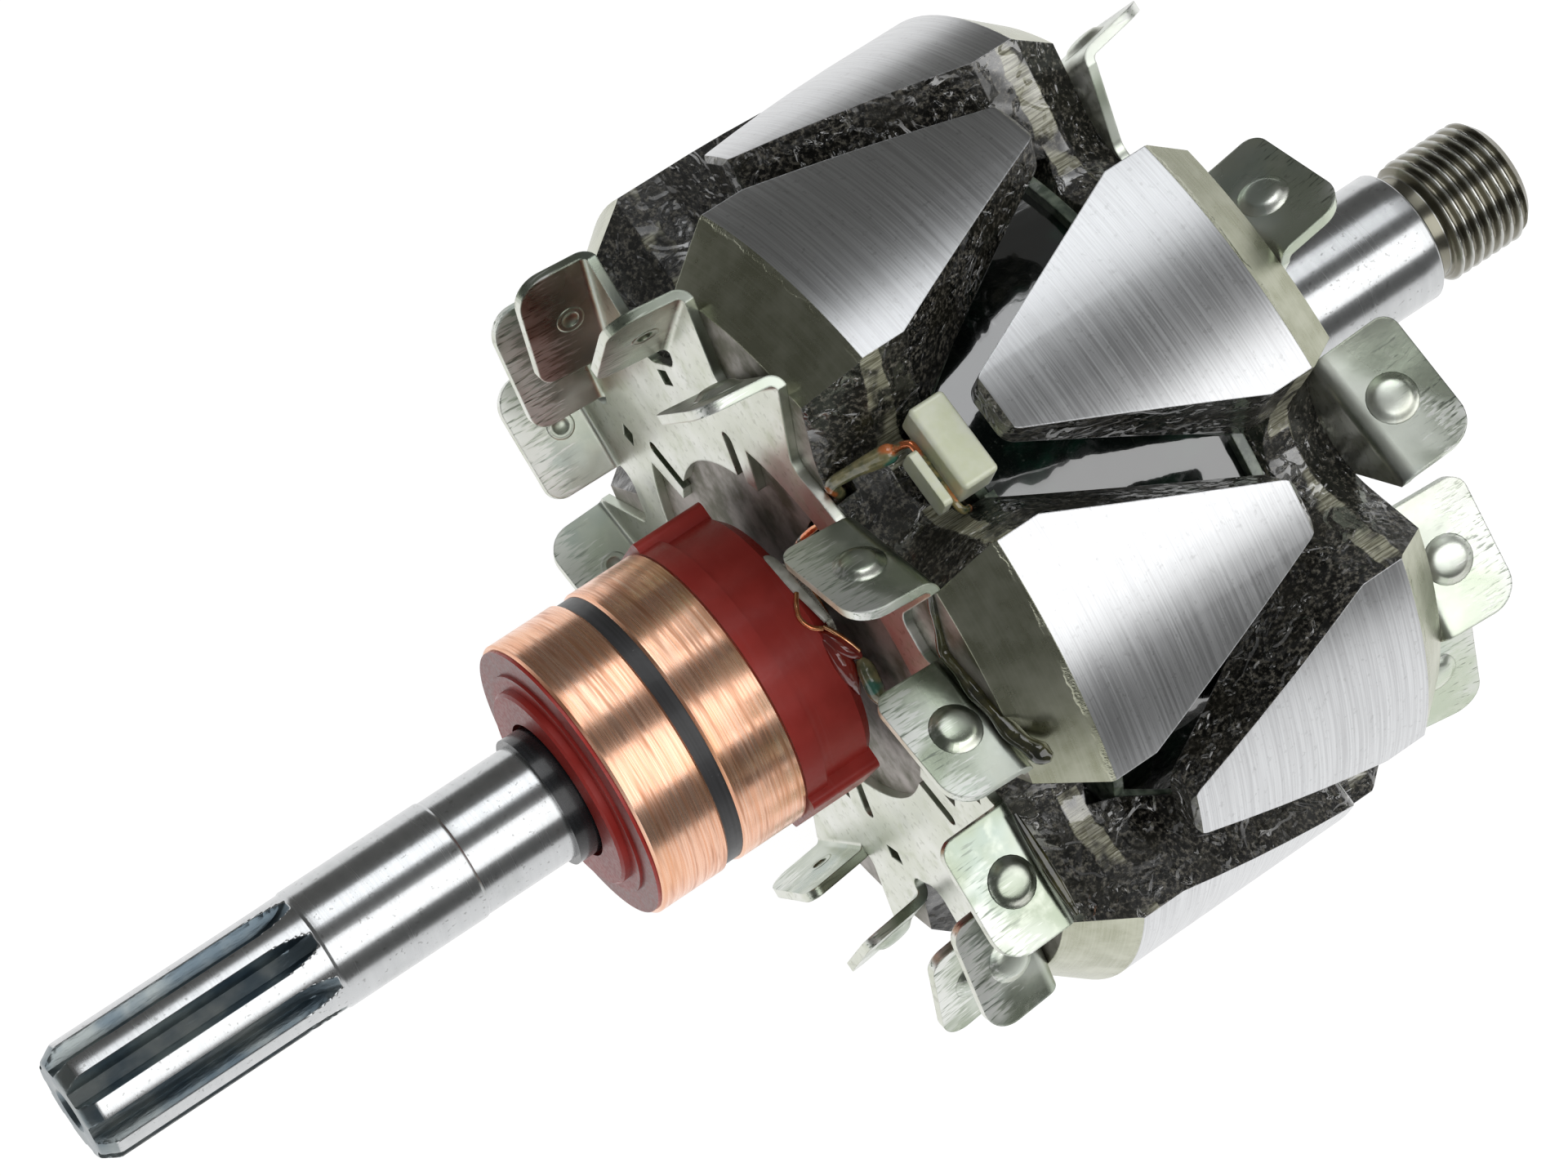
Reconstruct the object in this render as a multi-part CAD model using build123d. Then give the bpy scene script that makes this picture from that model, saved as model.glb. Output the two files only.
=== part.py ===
from build123d import *
import math
import os

# Alternator rotor with claw poles, slip rings and two fans. Lengths are in millimetres.
# X runs along the shaft towards the threaded drive end, and the origin is the middle of the
# drive-end seat. Angles around the shaft start at +Z and grow towards +Y.

# Fits
press_gap = 0.01
seat_gap = 0.2

# Shaft
journal_diameter = 15.0
journal_step = 0.16
journal_chamfer = 0.35
core_seat_diameter = 18.0
drive_seat_diameter = 17.0
thread_diameter = 16.0
undercut_diameter = 13.6
shaft_rear_length = 99.7
journal_near = 49.25
journal_far = 68.1
drive_seat_length = 20.9
undercut_width = 2.1
thread_length = 12.0
thread_chamfer = 1.3
rear_chamfer_length = 2.0
rear_chamfer_height = 1.2
seat_chamfer = 0.5
centre_hole_mouth = 5.6
centre_hole_pilot = 2.5
centre_hole_pilot_depth = 3.0

# Spline at the rear end of the shaft
groove_count = 8
groove_first_angle = 8.0
groove_depth = 1.8
groove_top_width = 3.7
groove_bottom_width = 1.6
groove_cutter_radius = 10.6

# Collar at the drive end, on a land of the shaft that is a little larger than the seat
collar_length = 14.0
collar_land_step = 0.2
collar_diameter = 24.0
collar_chamfer = 0.6

# Claw poles
pole_diameter = 105.0
forged_length = 54.2
front_face_cut = 1.7
rim_chamfer_height = 5.5
rim_chamfer_depth = 6.95
rim_back = 9.2
hub_back = 12.3
hub_setback = 5.4
claw_count = 6
claw_pitch_share = 0.5752
claw_taper_start = 12.4
claw_length = 39.3
claw_tip_half_width = 3.2
claw_tip_thickness = 4.2
claw_root_thickness = 13.1
claw_tip_round = 2.2
claw_tip_chamfer = 0.6
valley_round = 7.0
valley_bevel = 3.0
valley_bevel_depth = 6.5
rear_claw_angle = 40.0
front_claw_angle = 10.0

# Field coil and its former, which leave the core the room inside them
washer_thickness = 0.3
barrel_wall = 1.2
flange_thickness = 1.3
flap_thickness = 0.8
flap_gap = 0.25
flap_length = 8.0
flap_inset = 0.8
flap_taper = 4.1
winding_thickness = 9.9
wrap_clearance = 1.0
wrap_thickness = 1.1

# Lead posts on the rear flange of the coil former
post_half_width = 5.3
post_neck_half_width = 3.4
post_back = 6.0
post_lip_thickness = 1.1
post_lip_top = 1.6
post_slot_width = 1.3
post_neck_rise = 0.35
post_head_rise = 3.8
post_slot_rise = 5.0
post_lip_rise = 7.6
post_top_rise = 9.0
post_head_setback = 0.9
post_round = 0.6
notch_depth = 0.5

# Slip rings and their moulding
moulding_gap = 3.0
body_length = 7.5
inner_flange_width = 2.7
inner_ring_width = 8.8
spacer_width = 2.1
outer_ring_width = 9.0
outer_flange_width = 0.4
hub_step = 0.4
hub_width = 1.1
ring_diameter = 35.4
ring_thickness = 3.0
ring_chamfer = 0.3
spacer_recess = 0.35
outer_flange_diameter = 34.4
hub_step_diameter = 28.6
moulding_hub_diameter = 25.2
body_diameter = 34.0
body_chamfer = 1.4
hub_round = 0.3
sleeve_wall = 0.85
sleeve_overhang = 2.6
mouth_gap = 0.5
mouth_depth = 1.4
arm_angle = 95.0
arm_half_width = 6.0
arm_height = 18.1
arm_round = 1.0

# Ring terminals
bar_half_width = 1.5
bar_thickness = 1.0
bar_cover = 1.2
tab_thickness = 0.8
tab_half_width = 4.8
tab_inner = 10.6
tab_outer = 16.4

# Leads
wire_diameter = 0.9
lead_sleeve_diameter = 1.7
lead_groove_width = 2.1
lead_groove_depth = 2.7
lead_groove_side = 4.4
lead_groove_start = 18.5
lead_groove_setback = 0.4
lead_solder_side = 2.6
lead_dive = 8.0
lead_rise = 3.4
lead_ramp_height = 1.0
lead_ramp_rise = 1.1
lead_bend_reach = 2.4
lead_hook_side = 2.8
lead_drop = 2.2
lead_drop_end = 3.6
lead_drop_rise = 0.8
lead_step = 0.4
seal_radius = 3.6
seal_offset = 4.6

# Fans
sheet_thickness = 1.2
bend_radius = 0.8
blade_height = 8.9
rear_blade_inner = 39.2
rear_blade_outer = 49.9
rear_blade_skew = 14.5
rear_blade_lean = 6.0
front_blade_inner = 40.6
front_blade_outer = 49.1
front_blade_skew = 18.4
front_blade_lean = 10.6
blade_outer_round = 3.6
blade_inner_round = 2.0
valley_radius = 35.5
tooth_root = 30.0
tooth_foot_angle = 5.0
tooth_fillet = 2.4
fan_hole = 29.0
tab_hole = 22.6
tab_angle = 80.5
tab_half_angle = 37.0
relief_half_angle = 28.8
relief_width = 2.0
relief_reach = 29.2
window_radius = 33.6
window_width = 2.0
window_length = 2.6
dimple_radius = 1.9
dent_radius = 1.3
dimple_rise = 3.4
rear_blade_angles = (79.8, 99.5, 119.8, 149.1, 179.0, 209.1, 227.8, 255.5, 276.7, 301.1, 330.2, 356.8,
                     29.6, 50.2)
front_blade_angles = (6.8, 48.0, 118.0, 154.0, 189.0, 230.0, 272.0, 304.6, 333.1)
window_angles = (72.0, 117.0, 192.0, 237.0, 312.0, 357.0)

# Places along the shaft
collar_face_x = (seat_chamfer - drive_seat_length) / 2
front_face_x = collar_face_x - collar_length
front_forging_x = front_face_x + front_face_cut
rear_face_x = front_forging_x - forged_length
rear_end_x = rear_face_x - shaft_rear_length
journal_far_x = rear_face_x - journal_far
journal_near_x = rear_face_x - journal_near
seat_end_x = collar_face_x + drive_seat_length
thread_start_x = seat_end_x + undercut_width
thread_end_x = thread_start_x + thread_length
moulding_front_x = rear_face_x - moulding_gap
body_back_x = moulding_front_x - body_length
inner_ring_front_x = body_back_x - inner_flange_width
spacer_front_x = inner_ring_front_x - inner_ring_width
outer_ring_front_x = spacer_front_x - spacer_width
outer_ring_back_x = outer_ring_front_x - outer_ring_width
outer_flange_back_x = outer_ring_back_x - outer_flange_width
hub_step_back_x = outer_flange_back_x - hub_step
moulding_back_x = hub_step_back_x - hub_width

# Radii that follow from the sizes above
pole_r = pole_diameter / 2
half_pitch = 180 / claw_count
claw_half_width = claw_pitch_share * pole_r * math.sin(math.radians(half_pitch))
claw_root_inner = pole_r - claw_root_thickness
hub_r = claw_root_inner - hub_setback
flap_root_half_width = claw_half_width - flap_inset
flap_end_half_width = flap_root_half_width - flap_taper
post_neck_bottom = claw_root_inner + post_neck_rise
post_head_bottom = claw_root_inner + post_head_rise
post_slot_floor = claw_root_inner + post_slot_rise
post_lip_height = claw_root_inner + post_lip_rise
post_top = claw_root_inner + post_top_rise
lead_groove_end = claw_root_inner - lead_groove_setback
core_seat_r = core_seat_diameter / 2
rear_r = journal_diameter / 2 - journal_step
sleeve_r = rear_r + sleeve_wall
ring_r = ring_diameter / 2
barrel_r = ring_r - ring_thickness
wrap_r = claw_root_inner - wrap_clearance
winding_r = wrap_r - wrap_thickness
barrel_outer = winding_r - winding_thickness
core_r = barrel_outer - barrel_wall - seat_gap
seat_r = drive_seat_diameter / 2
collar_land_r = seat_r + collar_land_step
wire_r = wire_diameter / 2
lead_sleeve_r = lead_sleeve_diameter / 2
valley_apex = claw_half_width / math.sin(math.radians(half_pitch))
coil_back = hub_back + washer_thickness + flange_thickness


def around(shape, angle):
    """Turns a shape about the shaft, from +Z towards +Y."""
    return Rot(-angle, 0, 0) * shape


def lathe(*points):
    """A solid of revolution about the shaft, from points of (along the shaft, radius)."""
    return revolve(make_face(Polyline(*points, close=True)), Axis.X)


def tube(start, end, inner, outer, chamfer_size=0.0):
    """A ring about the shaft, with its outer edges chamfered."""
    c = chamfer_size
    if c == 0.0:
        return lathe((start, inner), (start, outer), (end, outer), (end, inner))
    return lathe((start, inner), (start, outer - c), (start + c, outer), (end - c, outer),
                 (end, outer - c), (end, inner))


def block(low, high):
    """A box between two corners."""
    size = [b - a for a, b in zip(low, high)]
    middle = [(a + b) / 2 for a, b in zip(low, high)]
    return Pos(*middle) * Box(*size)


def across(x):
    """The plane across the shaft at x: its own x and y run along +Y and +Z."""
    return Plane(origin=(x, 0, 0), x_dir=(0, 1, 0), z_dir=(1, 0, 0))


def polar(radius, angle):
    """A point of a plane across the shaft."""
    a = math.radians(angle)
    return (radius * math.sin(a), radius * math.cos(a))


def claw_inner(x):
    """Inner radius of a claw at a distance x behind its own pole's outer face."""
    tip_inner = pole_r - claw_tip_thickness
    return claw_root_inner + (tip_inner - claw_root_inner) * (x - rim_back) / (claw_length - rim_back)


# The shaft, turned in one piece, with the spline grooves milled into its rear end
def centre_hole(x, inwards):
    """The cutter of a centre hole whose mouth is at x."""
    mouth = centre_hole_mouth / 2
    pilot = centre_hole_pilot / 2
    cone = (mouth - pilot) * math.sqrt(3)
    deep = cone + centre_hole_pilot_depth
    return lathe((x, 0), (x, mouth), (x + inwards * cone, pilot), (x + inwards * deep, pilot),
                 (x + inwards * deep, 0))


def spline_cutter():
    """One groove along the shaft, with the arc where the milling cutter leaves the metal."""
    floor = rear_r - groove_depth
    slope = (groove_top_width - groove_bottom_width) / 2 / groove_depth
    clear = groove_depth + 1.0
    bottom = groove_bottom_width / 2
    top = bottom + slope * clear
    section = make_face(Polyline((-bottom, floor), (bottom, floor), (top, floor + clear),
                                 (-top, floor + clear), close=True))
    run_out = math.sqrt(groove_cutter_radius ** 2 - (groove_cutter_radius - groove_depth) ** 2)
    run_out_x = journal_far_x - run_out
    start_x = rear_end_x - 1.0
    straight = extrude(across(start_x) * section, run_out_x - start_x)
    pivot = Axis((run_out_x, 0, floor + groove_cutter_radius), (0, -1, 0))
    curved = revolve(across(run_out_x) * section, pivot, 60)
    return straight + curved


def make_shaft():
    thread_r = thread_diameter / 2
    undercut_r = undercut_diameter / 2
    journal_r = journal_diameter / 2
    lead_in = thread_r - undercut_r
    body = lathe(
        (rear_end_x, 0), (rear_end_x, rear_r - rear_chamfer_height),
        (rear_end_x + rear_chamfer_length, rear_r), (journal_far_x, rear_r),
        (journal_far_x + journal_chamfer, journal_r), (journal_near_x - journal_chamfer, journal_r),
        (journal_near_x, rear_r), (rear_face_x, rear_r),
        (rear_face_x, core_seat_r), (front_face_x, core_seat_r),
        (front_face_x, collar_land_r), (collar_face_x, collar_land_r),
        (collar_face_x, seat_r), (seat_end_x - seat_chamfer, seat_r),
        (seat_end_x, seat_r - seat_chamfer), (seat_end_x, undercut_r),
        (thread_start_x, undercut_r), (thread_start_x + lead_in * 0.6, thread_r),
        (thread_end_x - thread_chamfer, thread_r), (thread_end_x, thread_r - thread_chamfer),
        (thread_end_x, 0))
    body -= centre_hole(rear_end_x, 1)
    body -= centre_hole(thread_end_x, -1)
    cutter = spline_cutter()
    for i in range(groove_count):
        body -= around(cutter, groove_first_angle + 360 / groove_count * i)
    return body


# A claw pole, drawn with its outer face at x = 0 and one claw at angle 0
def valley_face(x, spread):
    """The rounded V between two claws, at x, with its walls moved apart by spread."""
    tip = valley_apex - spread / math.sin(math.radians(half_pitch))
    top = pole_r * 1.15
    half = (top - tip) * math.tan(math.radians(half_pitch))
    vee = make_face(Polyline((0, tip), (half, top), (-half, top), close=True))
    vee = fillet(vee.vertices().sort_by(Axis.Y)[0], valley_round + spread)
    return across(x) * vee


def valley_cutter():
    """The gap between two claws: straight at the rim, bevelled towards the outer face."""
    straight = extrude(valley_face(valley_bevel_depth, 0), claw_length)
    past = 0.5
    spread = valley_bevel * (1 + past / valley_bevel_depth)
    bevel = loft([valley_face(valley_bevel_depth, 0), valley_face(-past, spread)], ruled=True)
    return straight + bevel


def claw():
    """One finger, tapered in width and in thickness."""
    root = (rim_chamfer_depth + rim_back) / 2
    w, t, c = claw_half_width, claw_tip_half_width, claw_tip_chamfer
    plan = make_face(Polyline((root, -w), (claw_taper_start, -w), (claw_length, -t), (claw_length, t),
                              (claw_taper_start, w), (root, w), close=True))
    plan = fillet(plan.vertices().sort_by(Axis.X)[-2:], claw_tip_round)
    finger = extrude(Pos(0, 0, core_r) * plan, pole_r)
    wedge = lathe((root, claw_root_inner), (rim_back, claw_root_inner),
                  (claw_length, claw_inner(claw_length)), (claw_length, pole_r - c),
                  (claw_length - c, pole_r), (root, pole_r))
    return finger & wedge


def make_pole(face):
    """A forging whose outer face is machined back to x = face."""
    bore = core_seat_r + press_gap
    face_r = pole_r - rim_chamfer_height * (1 - face / rim_chamfer_depth)
    disc = lathe((face, bore), (face, face_r), (rim_chamfer_depth, pole_r), (rim_back, pole_r),
                 (rim_back, claw_root_inner), (hub_back, hub_r), (hub_back, bore))
    cutter = valley_cutter()
    finger = claw()
    for i in range(claw_count):
        disc -= around(cutter, 2 * half_pitch * i + half_pitch)
    for i in range(claw_count):
        disc += around(finger, 2 * half_pitch * i)
    return disc


def lead_groove():
    """The channel in the rear pole's face where a lead runs out to its post."""
    half = lead_groove_width / 2
    return block((-1, lead_groove_side - half, lead_groove_start),
                 (lead_groove_depth, lead_groove_side + half, lead_groove_end))


def make_rear_pole():
    pole = around(make_pole(0.0), rear_claw_angle)
    for angle in post_angles:
        pole -= around(lead_groove(), angle)
    return Pos(rear_face_x, 0, 0) * pole


def make_front_pole():
    turned = around(Rot(0, 0, 180) * make_pole(front_face_cut), front_claw_angle)
    return Pos(front_forging_x, 0, 0) * turned


# The coil former, with flaps under the claws and two lead posts
def flap():
    """A tongue of the flange that lies under one claw and keeps the coil off it."""
    start = hub_back + washer_thickness
    end = coil_back + flap_length
    w, t = flap_root_half_width, flap_end_half_width
    plan = make_face(Polyline((start, -w), (coil_back, -w), (end, -t), (end, t), (coil_back, w),
                              (start, w), close=True))
    prism = extrude(Pos(0, 0, core_r) * plan, pole_r)
    outer = [(x, claw_inner(x) - flap_gap) for x in (start, end)]
    inner = [(x, r - flap_thickness) for x, r in reversed(outer)]
    return prism & lathe(*outer, *inner)


def lead_post():
    """A moulded post with a hook: the lead lies in the slot between its lip and its head."""
    lip_end = post_back + post_lip_thickness
    head_start = lip_end + post_slot_width
    w, n = post_half_width, post_neck_half_width
    head_end = coil_back - post_head_setback
    neck = block((head_start, -n, post_neck_bottom), (coil_back, n, post_head_bottom + post_round))
    head = block((head_start, -w, post_head_bottom), (head_end, w, post_top))
    head = fillet(head.edges(), post_round)
    lip = block((post_back, -w, post_head_bottom), (lip_end, post_lip_top, post_lip_height))
    lip = fillet(lip.edges().filter_by(Axis.X), post_round)
    bridge = block((lip_end - post_round, -w + post_round, post_head_bottom + post_round / 2),
                   (head_start + post_round, post_lip_top - post_round, post_slot_floor))
    return neck + head + lip + bridge


def flange(x):
    """A flange of the coil former with its outer face at x, and the six flaps under the claws."""
    outer = claw_inner(hub_back + washer_thickness) - flap_gap
    ring = tube(x, x + flange_thickness, core_r + seat_gap, outer)
    for i in range(claw_count):
        ring += around(flap(), 2 * half_pitch * i)
    return ring


def make_bobbin():
    start = hub_back + washer_thickness
    barrel = tube(start, forged_length - start, core_r + seat_gap, barrel_outer)
    rear = around(flange(start), rear_claw_angle)
    front = Pos(forged_length, 0, 0) * around(Rot(0, 0, 180) * flange(start), front_claw_angle)
    notch = block((start - 1, -lead_side - lead_groove_width / 2, wrap_r - notch_depth),
                  (coil_back + 1, -lead_side + lead_groove_width / 2, pole_r))
    for angle in post_angles:
        rear -= around(notch, angle)
        rear += around(lead_post(), angle)
    return Pos(rear_face_x, 0, 0) * (barrel + rear + front)


def make_washer(x):
    return tube(x, x + washer_thickness, core_r + seat_gap, hub_r - seat_gap)


# The slip ring assembly
def bar_and_tab(ring_middle_x):
    """A ring's flat bar inside the moulding, its foot under the ring and its soldering tab."""
    low = barrel_r - bar_cover - bar_thickness
    high = barrel_r - bar_cover
    w = bar_half_width
    bar = block((ring_middle_x - w, -w, low), (moulding_front_x + tab_thickness, w, high))
    foot = block((ring_middle_x - w, -w, high), (ring_middle_x + w, w, barrel_r + 1.0))
    foot &= tube(ring_middle_x - w, ring_middle_x + w, low, barrel_r)
    tab = block((moulding_front_x, -tab_half_width, tab_inner),
                (moulding_front_x + tab_thickness, tab_half_width, tab_outer))
    tab = fillet(tab.edges().filter_by(Axis.X), bar_half_width)
    return bar + foot + tab


def moulding_arm():
    arm = block((inner_ring_front_x, -arm_half_width, barrel_r - ring_thickness),
                (moulding_front_x - 1.0, arm_half_width, arm_height))
    return fillet(arm.edges().filter_by(Axis.X).sort_by(Axis.Z)[-2:], arm_round)


def make_moulding(terminals):
    bore = sleeve_r + press_gap
    body_r = body_diameter / 2
    nose_r = moulding_hub_diameter / 2
    body = lathe(
        (moulding_back_x, bore + mouth_gap), (moulding_back_x, nose_r - hub_round),
        (moulding_back_x + hub_round, nose_r), (hub_step_back_x, nose_r),
        (hub_step_back_x, hub_step_diameter / 2), (outer_flange_back_x, hub_step_diameter / 2),
        (outer_flange_back_x, outer_flange_diameter / 2),
        (outer_ring_back_x, outer_flange_diameter / 2), (outer_ring_back_x, barrel_r),
        (inner_ring_front_x, barrel_r), (inner_ring_front_x, ring_r),
        (body_back_x, ring_r), (body_back_x, body_r),
        (moulding_front_x - body_chamfer, body_r), (moulding_front_x, body_r - body_chamfer),
        (moulding_front_x, bore), (moulding_back_x + mouth_depth, bore),
        (moulding_back_x + mouth_depth, bore + mouth_gap))
    for angle in (arm_angle, arm_angle + 180):
        body += around(moulding_arm(), angle)
    for terminal in terminals:
        body -= terminal
    return body


# The leads, each drawn with its post at angle 0
def lead_route():
    """Corners of a lead: from its tab, through the groove, round the post's hook to the coil."""
    solder_x = -moulding_gap + tab_thickness + wire_r + press_gap
    solder_z = (tab_inner + tab_outer) / 2
    side = lead_groove_side
    groove_x = lead_groove_depth - lead_sleeve_r - seat_gap
    ramp_z = lead_groove_end + lead_ramp_rise
    slot_x = post_back + post_lip_thickness + post_slot_width / 2
    slot_z = post_slot_floor + wire_r + seat_gap
    past_post = post_half_width + wire_r + seat_gap
    under_head = post_head_bottom - wire_r - seat_gap
    flange_x = coil_back - flange_thickness + wire_r
    flange_z = math.sqrt((wrap_r + wire_r + seat_gap) ** 2 - lead_side ** 2)
    coil_side = lead_side + lead_step
    coil_z = math.sqrt((wrap_r + wire_r + press_gap) ** 2 - coil_side ** 2)
    return [
        Vector(solder_x, -lead_solder_side, solder_z), Vector(solder_x, side, lead_groove_start),
        Vector(groove_x, side, lead_groove_start + lead_dive),
        Vector(groove_x, side, lead_groove_end - lead_rise),
        Vector(groove_x + lead_ramp_height, side, ramp_z),
        Vector(slot_x - lead_bend_reach, side, slot_z - lead_step),
        Vector(slot_x, lead_hook_side, slot_z), Vector(slot_x, -past_post - seat_gap, slot_z),
        Vector(slot_x + lead_drop, -past_post, under_head),
        Vector(slot_x + lead_drop_end, -lead_side, claw_root_inner + lead_drop_rise),
        Vector(flange_x, -lead_side, flange_z),
        Vector(coil_back + lead_drop_end, -coil_side, coil_z)]


def bends(points):
    """The largest even arcs that the runs of a route leave room for."""
    radii = []
    for a, b, c in zip(points, points[1:], points[2:]):
        turn = math.radians((b - a).get_angle(c - b))
        shorter = min((b - a).length, (c - b).length)
        radii.append(0.45 * shorter / math.tan(turn / 2))
    return radii


def wire_along(points, radius):
    """A round wire along a route with rounded corners."""
    path = FilletPolyline(*points, radius=bends(points))
    section = Plane(origin=path @ 0, z_dir=path % 0) * Circle(radius)
    return sweep(section, path)


def make_lead(angle):
    return Pos(rear_face_x, 0, 0) * around(wire_along(lead_route(), wire_r), angle)


def make_lead_sleeve(angle):
    route = lead_route()
    start = route[1] + (route[2] - route[1]) * 0.3
    end = route[4] + (route[5] - route[4]) * 0.4
    short = [start] + route[2:5] + [end]
    outer = wire_along(short, lead_sleeve_r)
    return Pos(rear_face_x, 0, 0) * around(outer, angle)


def make_seal(angle, *neighbours):
    """Resin that covers a soldered joint and fills in round the pieces that meet there."""
    middle = tab_inner + seal_radius
    x = moulding_front_x - seal_radius / 3
    blob = Pos(x, -seal_offset, middle) * Sphere(seal_radius)
    blob += Pos(x, 0, middle - 1.0) * Sphere(seal_radius - 0.4)
    blob = around(blob, angle)
    for piece in neighbours:
        blob -= piece
    return blob.solids().sort_by(SortBy.VOLUME)[-1]


# The fans: a sheet with skewed teeth, whose outer strips are folded up into blades
def fold_line(angle, inner, outer, skew):
    """The plane of a blade: x away from the shaft, y away from the pole, z out along the fold."""
    start = Vector(0, *polar(inner, angle + skew))
    run = Vector(0, *polar(outer, angle)) - start
    outwards = run.cross(Vector(1, 0, 0)).normalized()
    return Plane(origin=start, x_dir=outwards, z_dir=run.normalized()), run.length


def blade(length, lean):
    """One blade with its fold, drawn on its fold line and leaning away from the shaft."""
    t = sheet_thickness
    reach = t + bend_radius
    turn = 90 - lean
    back = reach * math.tan(math.radians(turn / 2))
    rise = Vector(math.sin(math.radians(lean)), math.cos(math.radians(lean)))
    side = Vector(-rise.Y, rise.X) * t
    foot = Vector(-back, reach) + Vector(rise.Y, -rise.X) * reach
    tip = foot + rise * ((t + blade_height - foot.Y) / rise.Y)
    profile = make_face([
        CenterArc((-back, reach), reach, 270, turn), Polyline(foot, tip, tip + side, foot + side),
        CenterArc((-back, reach), bend_radius, 270, turn), Line((-back, t), (-back, 0))])
    strip = extrude(profile, length)
    top = tip.Y
    outline = make_face(Polyline((-1, 0), (top, 0), (top, length), (-1, length), close=True))
    outline = fillet(outline.vertices().sort_by_distance((top, length, 0))[0], blade_outer_round)
    outline = fillet(outline.vertices().sort_by_distance((top, 0, 0))[0], blade_inner_round)
    strip &= extrude(Plane.YZ * outline, 2 * reach + t, both=True)
    middle = foot + rise * (dimple_rise + t - foot.Y) + side * 0.25
    pressed = Plane(origin=(middle.X, middle.Y, length / 2), z_dir=(side.X, side.Y, 0))
    dimple = pressed * Sphere(dimple_radius, arc_size1=0)
    dent = pressed * Sphere(dent_radius)
    return strip + dimple - dent


def fan_sheet(angles, inner, outer, skew, lean):
    """The flat of the fan, seen along the shaft, up to where the folds start."""
    back = (sheet_thickness + bend_radius) * math.tan(math.radians((90 - lean) / 2))
    outline = Circle(valley_radius).face()
    for angle in angles:
        plane, length = fold_line(angle, inner, outer, skew)
        near = plane.from_local_coords(Vector(-back, 0, 0))
        far = plane.from_local_coords(Vector(-back, 0, length))
        tooth = make_face(Polyline(
            polar(tooth_root, angle + skew), (near.Y, near.Z), (far.Y, far.Z),
            polar(tooth_root, angle - tooth_foot_angle), close=True))
        outline += tooth
    outline = offset(offset(outline, tooth_fillet), -tooth_fillet)
    sheet = outline - Circle(fan_hole)
    reach = fan_hole * 1.3
    for angle in (tab_angle, tab_angle + 180):
        sides = (angle - tab_half_angle, angle + tab_half_angle)
        wedge = make_face(Polyline((0, 0), polar(reach, sides[0]), polar(reach, angle),
                                   polar(reach, sides[1]), close=True))
        sheet += wedge & (Circle((fan_hole + valley_radius) / 2) - Circle(tab_hole))
        for side in (angle - relief_half_angle, angle + relief_half_angle):
            slot_length = 2 * (relief_reach - tab_hole)
            slot = Pos(0, relief_reach - slot_length / 2) * SlotOverall(slot_length, relief_width, 90)
            sheet -= Rot(0, 0, -side) * slot
    for angle in window_angles:
        sheet -= Rot(0, 0, -angle) * (Pos(0, window_radius) * Rectangle(window_length, window_width))
    return sheet


def make_fan(angles, inner, outer, skew, lean):
    """A whole fan on the rear side: its sheet from x = -sheet_thickness to 0, blades towards -X."""
    sheet = fan_sheet(angles, inner, outer, skew, lean)
    fan = extrude(across(-sheet_thickness) * sheet, sheet_thickness)
    for angle in angles:
        plane, length = fold_line(angle, inner, outer, skew)
        fan += plane.location * blade(length, lean)
    return fan


post_angles = (front_claw_angle, front_claw_angle + 180)
lead_side = (post_half_width + post_neck_half_width) / 2


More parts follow.
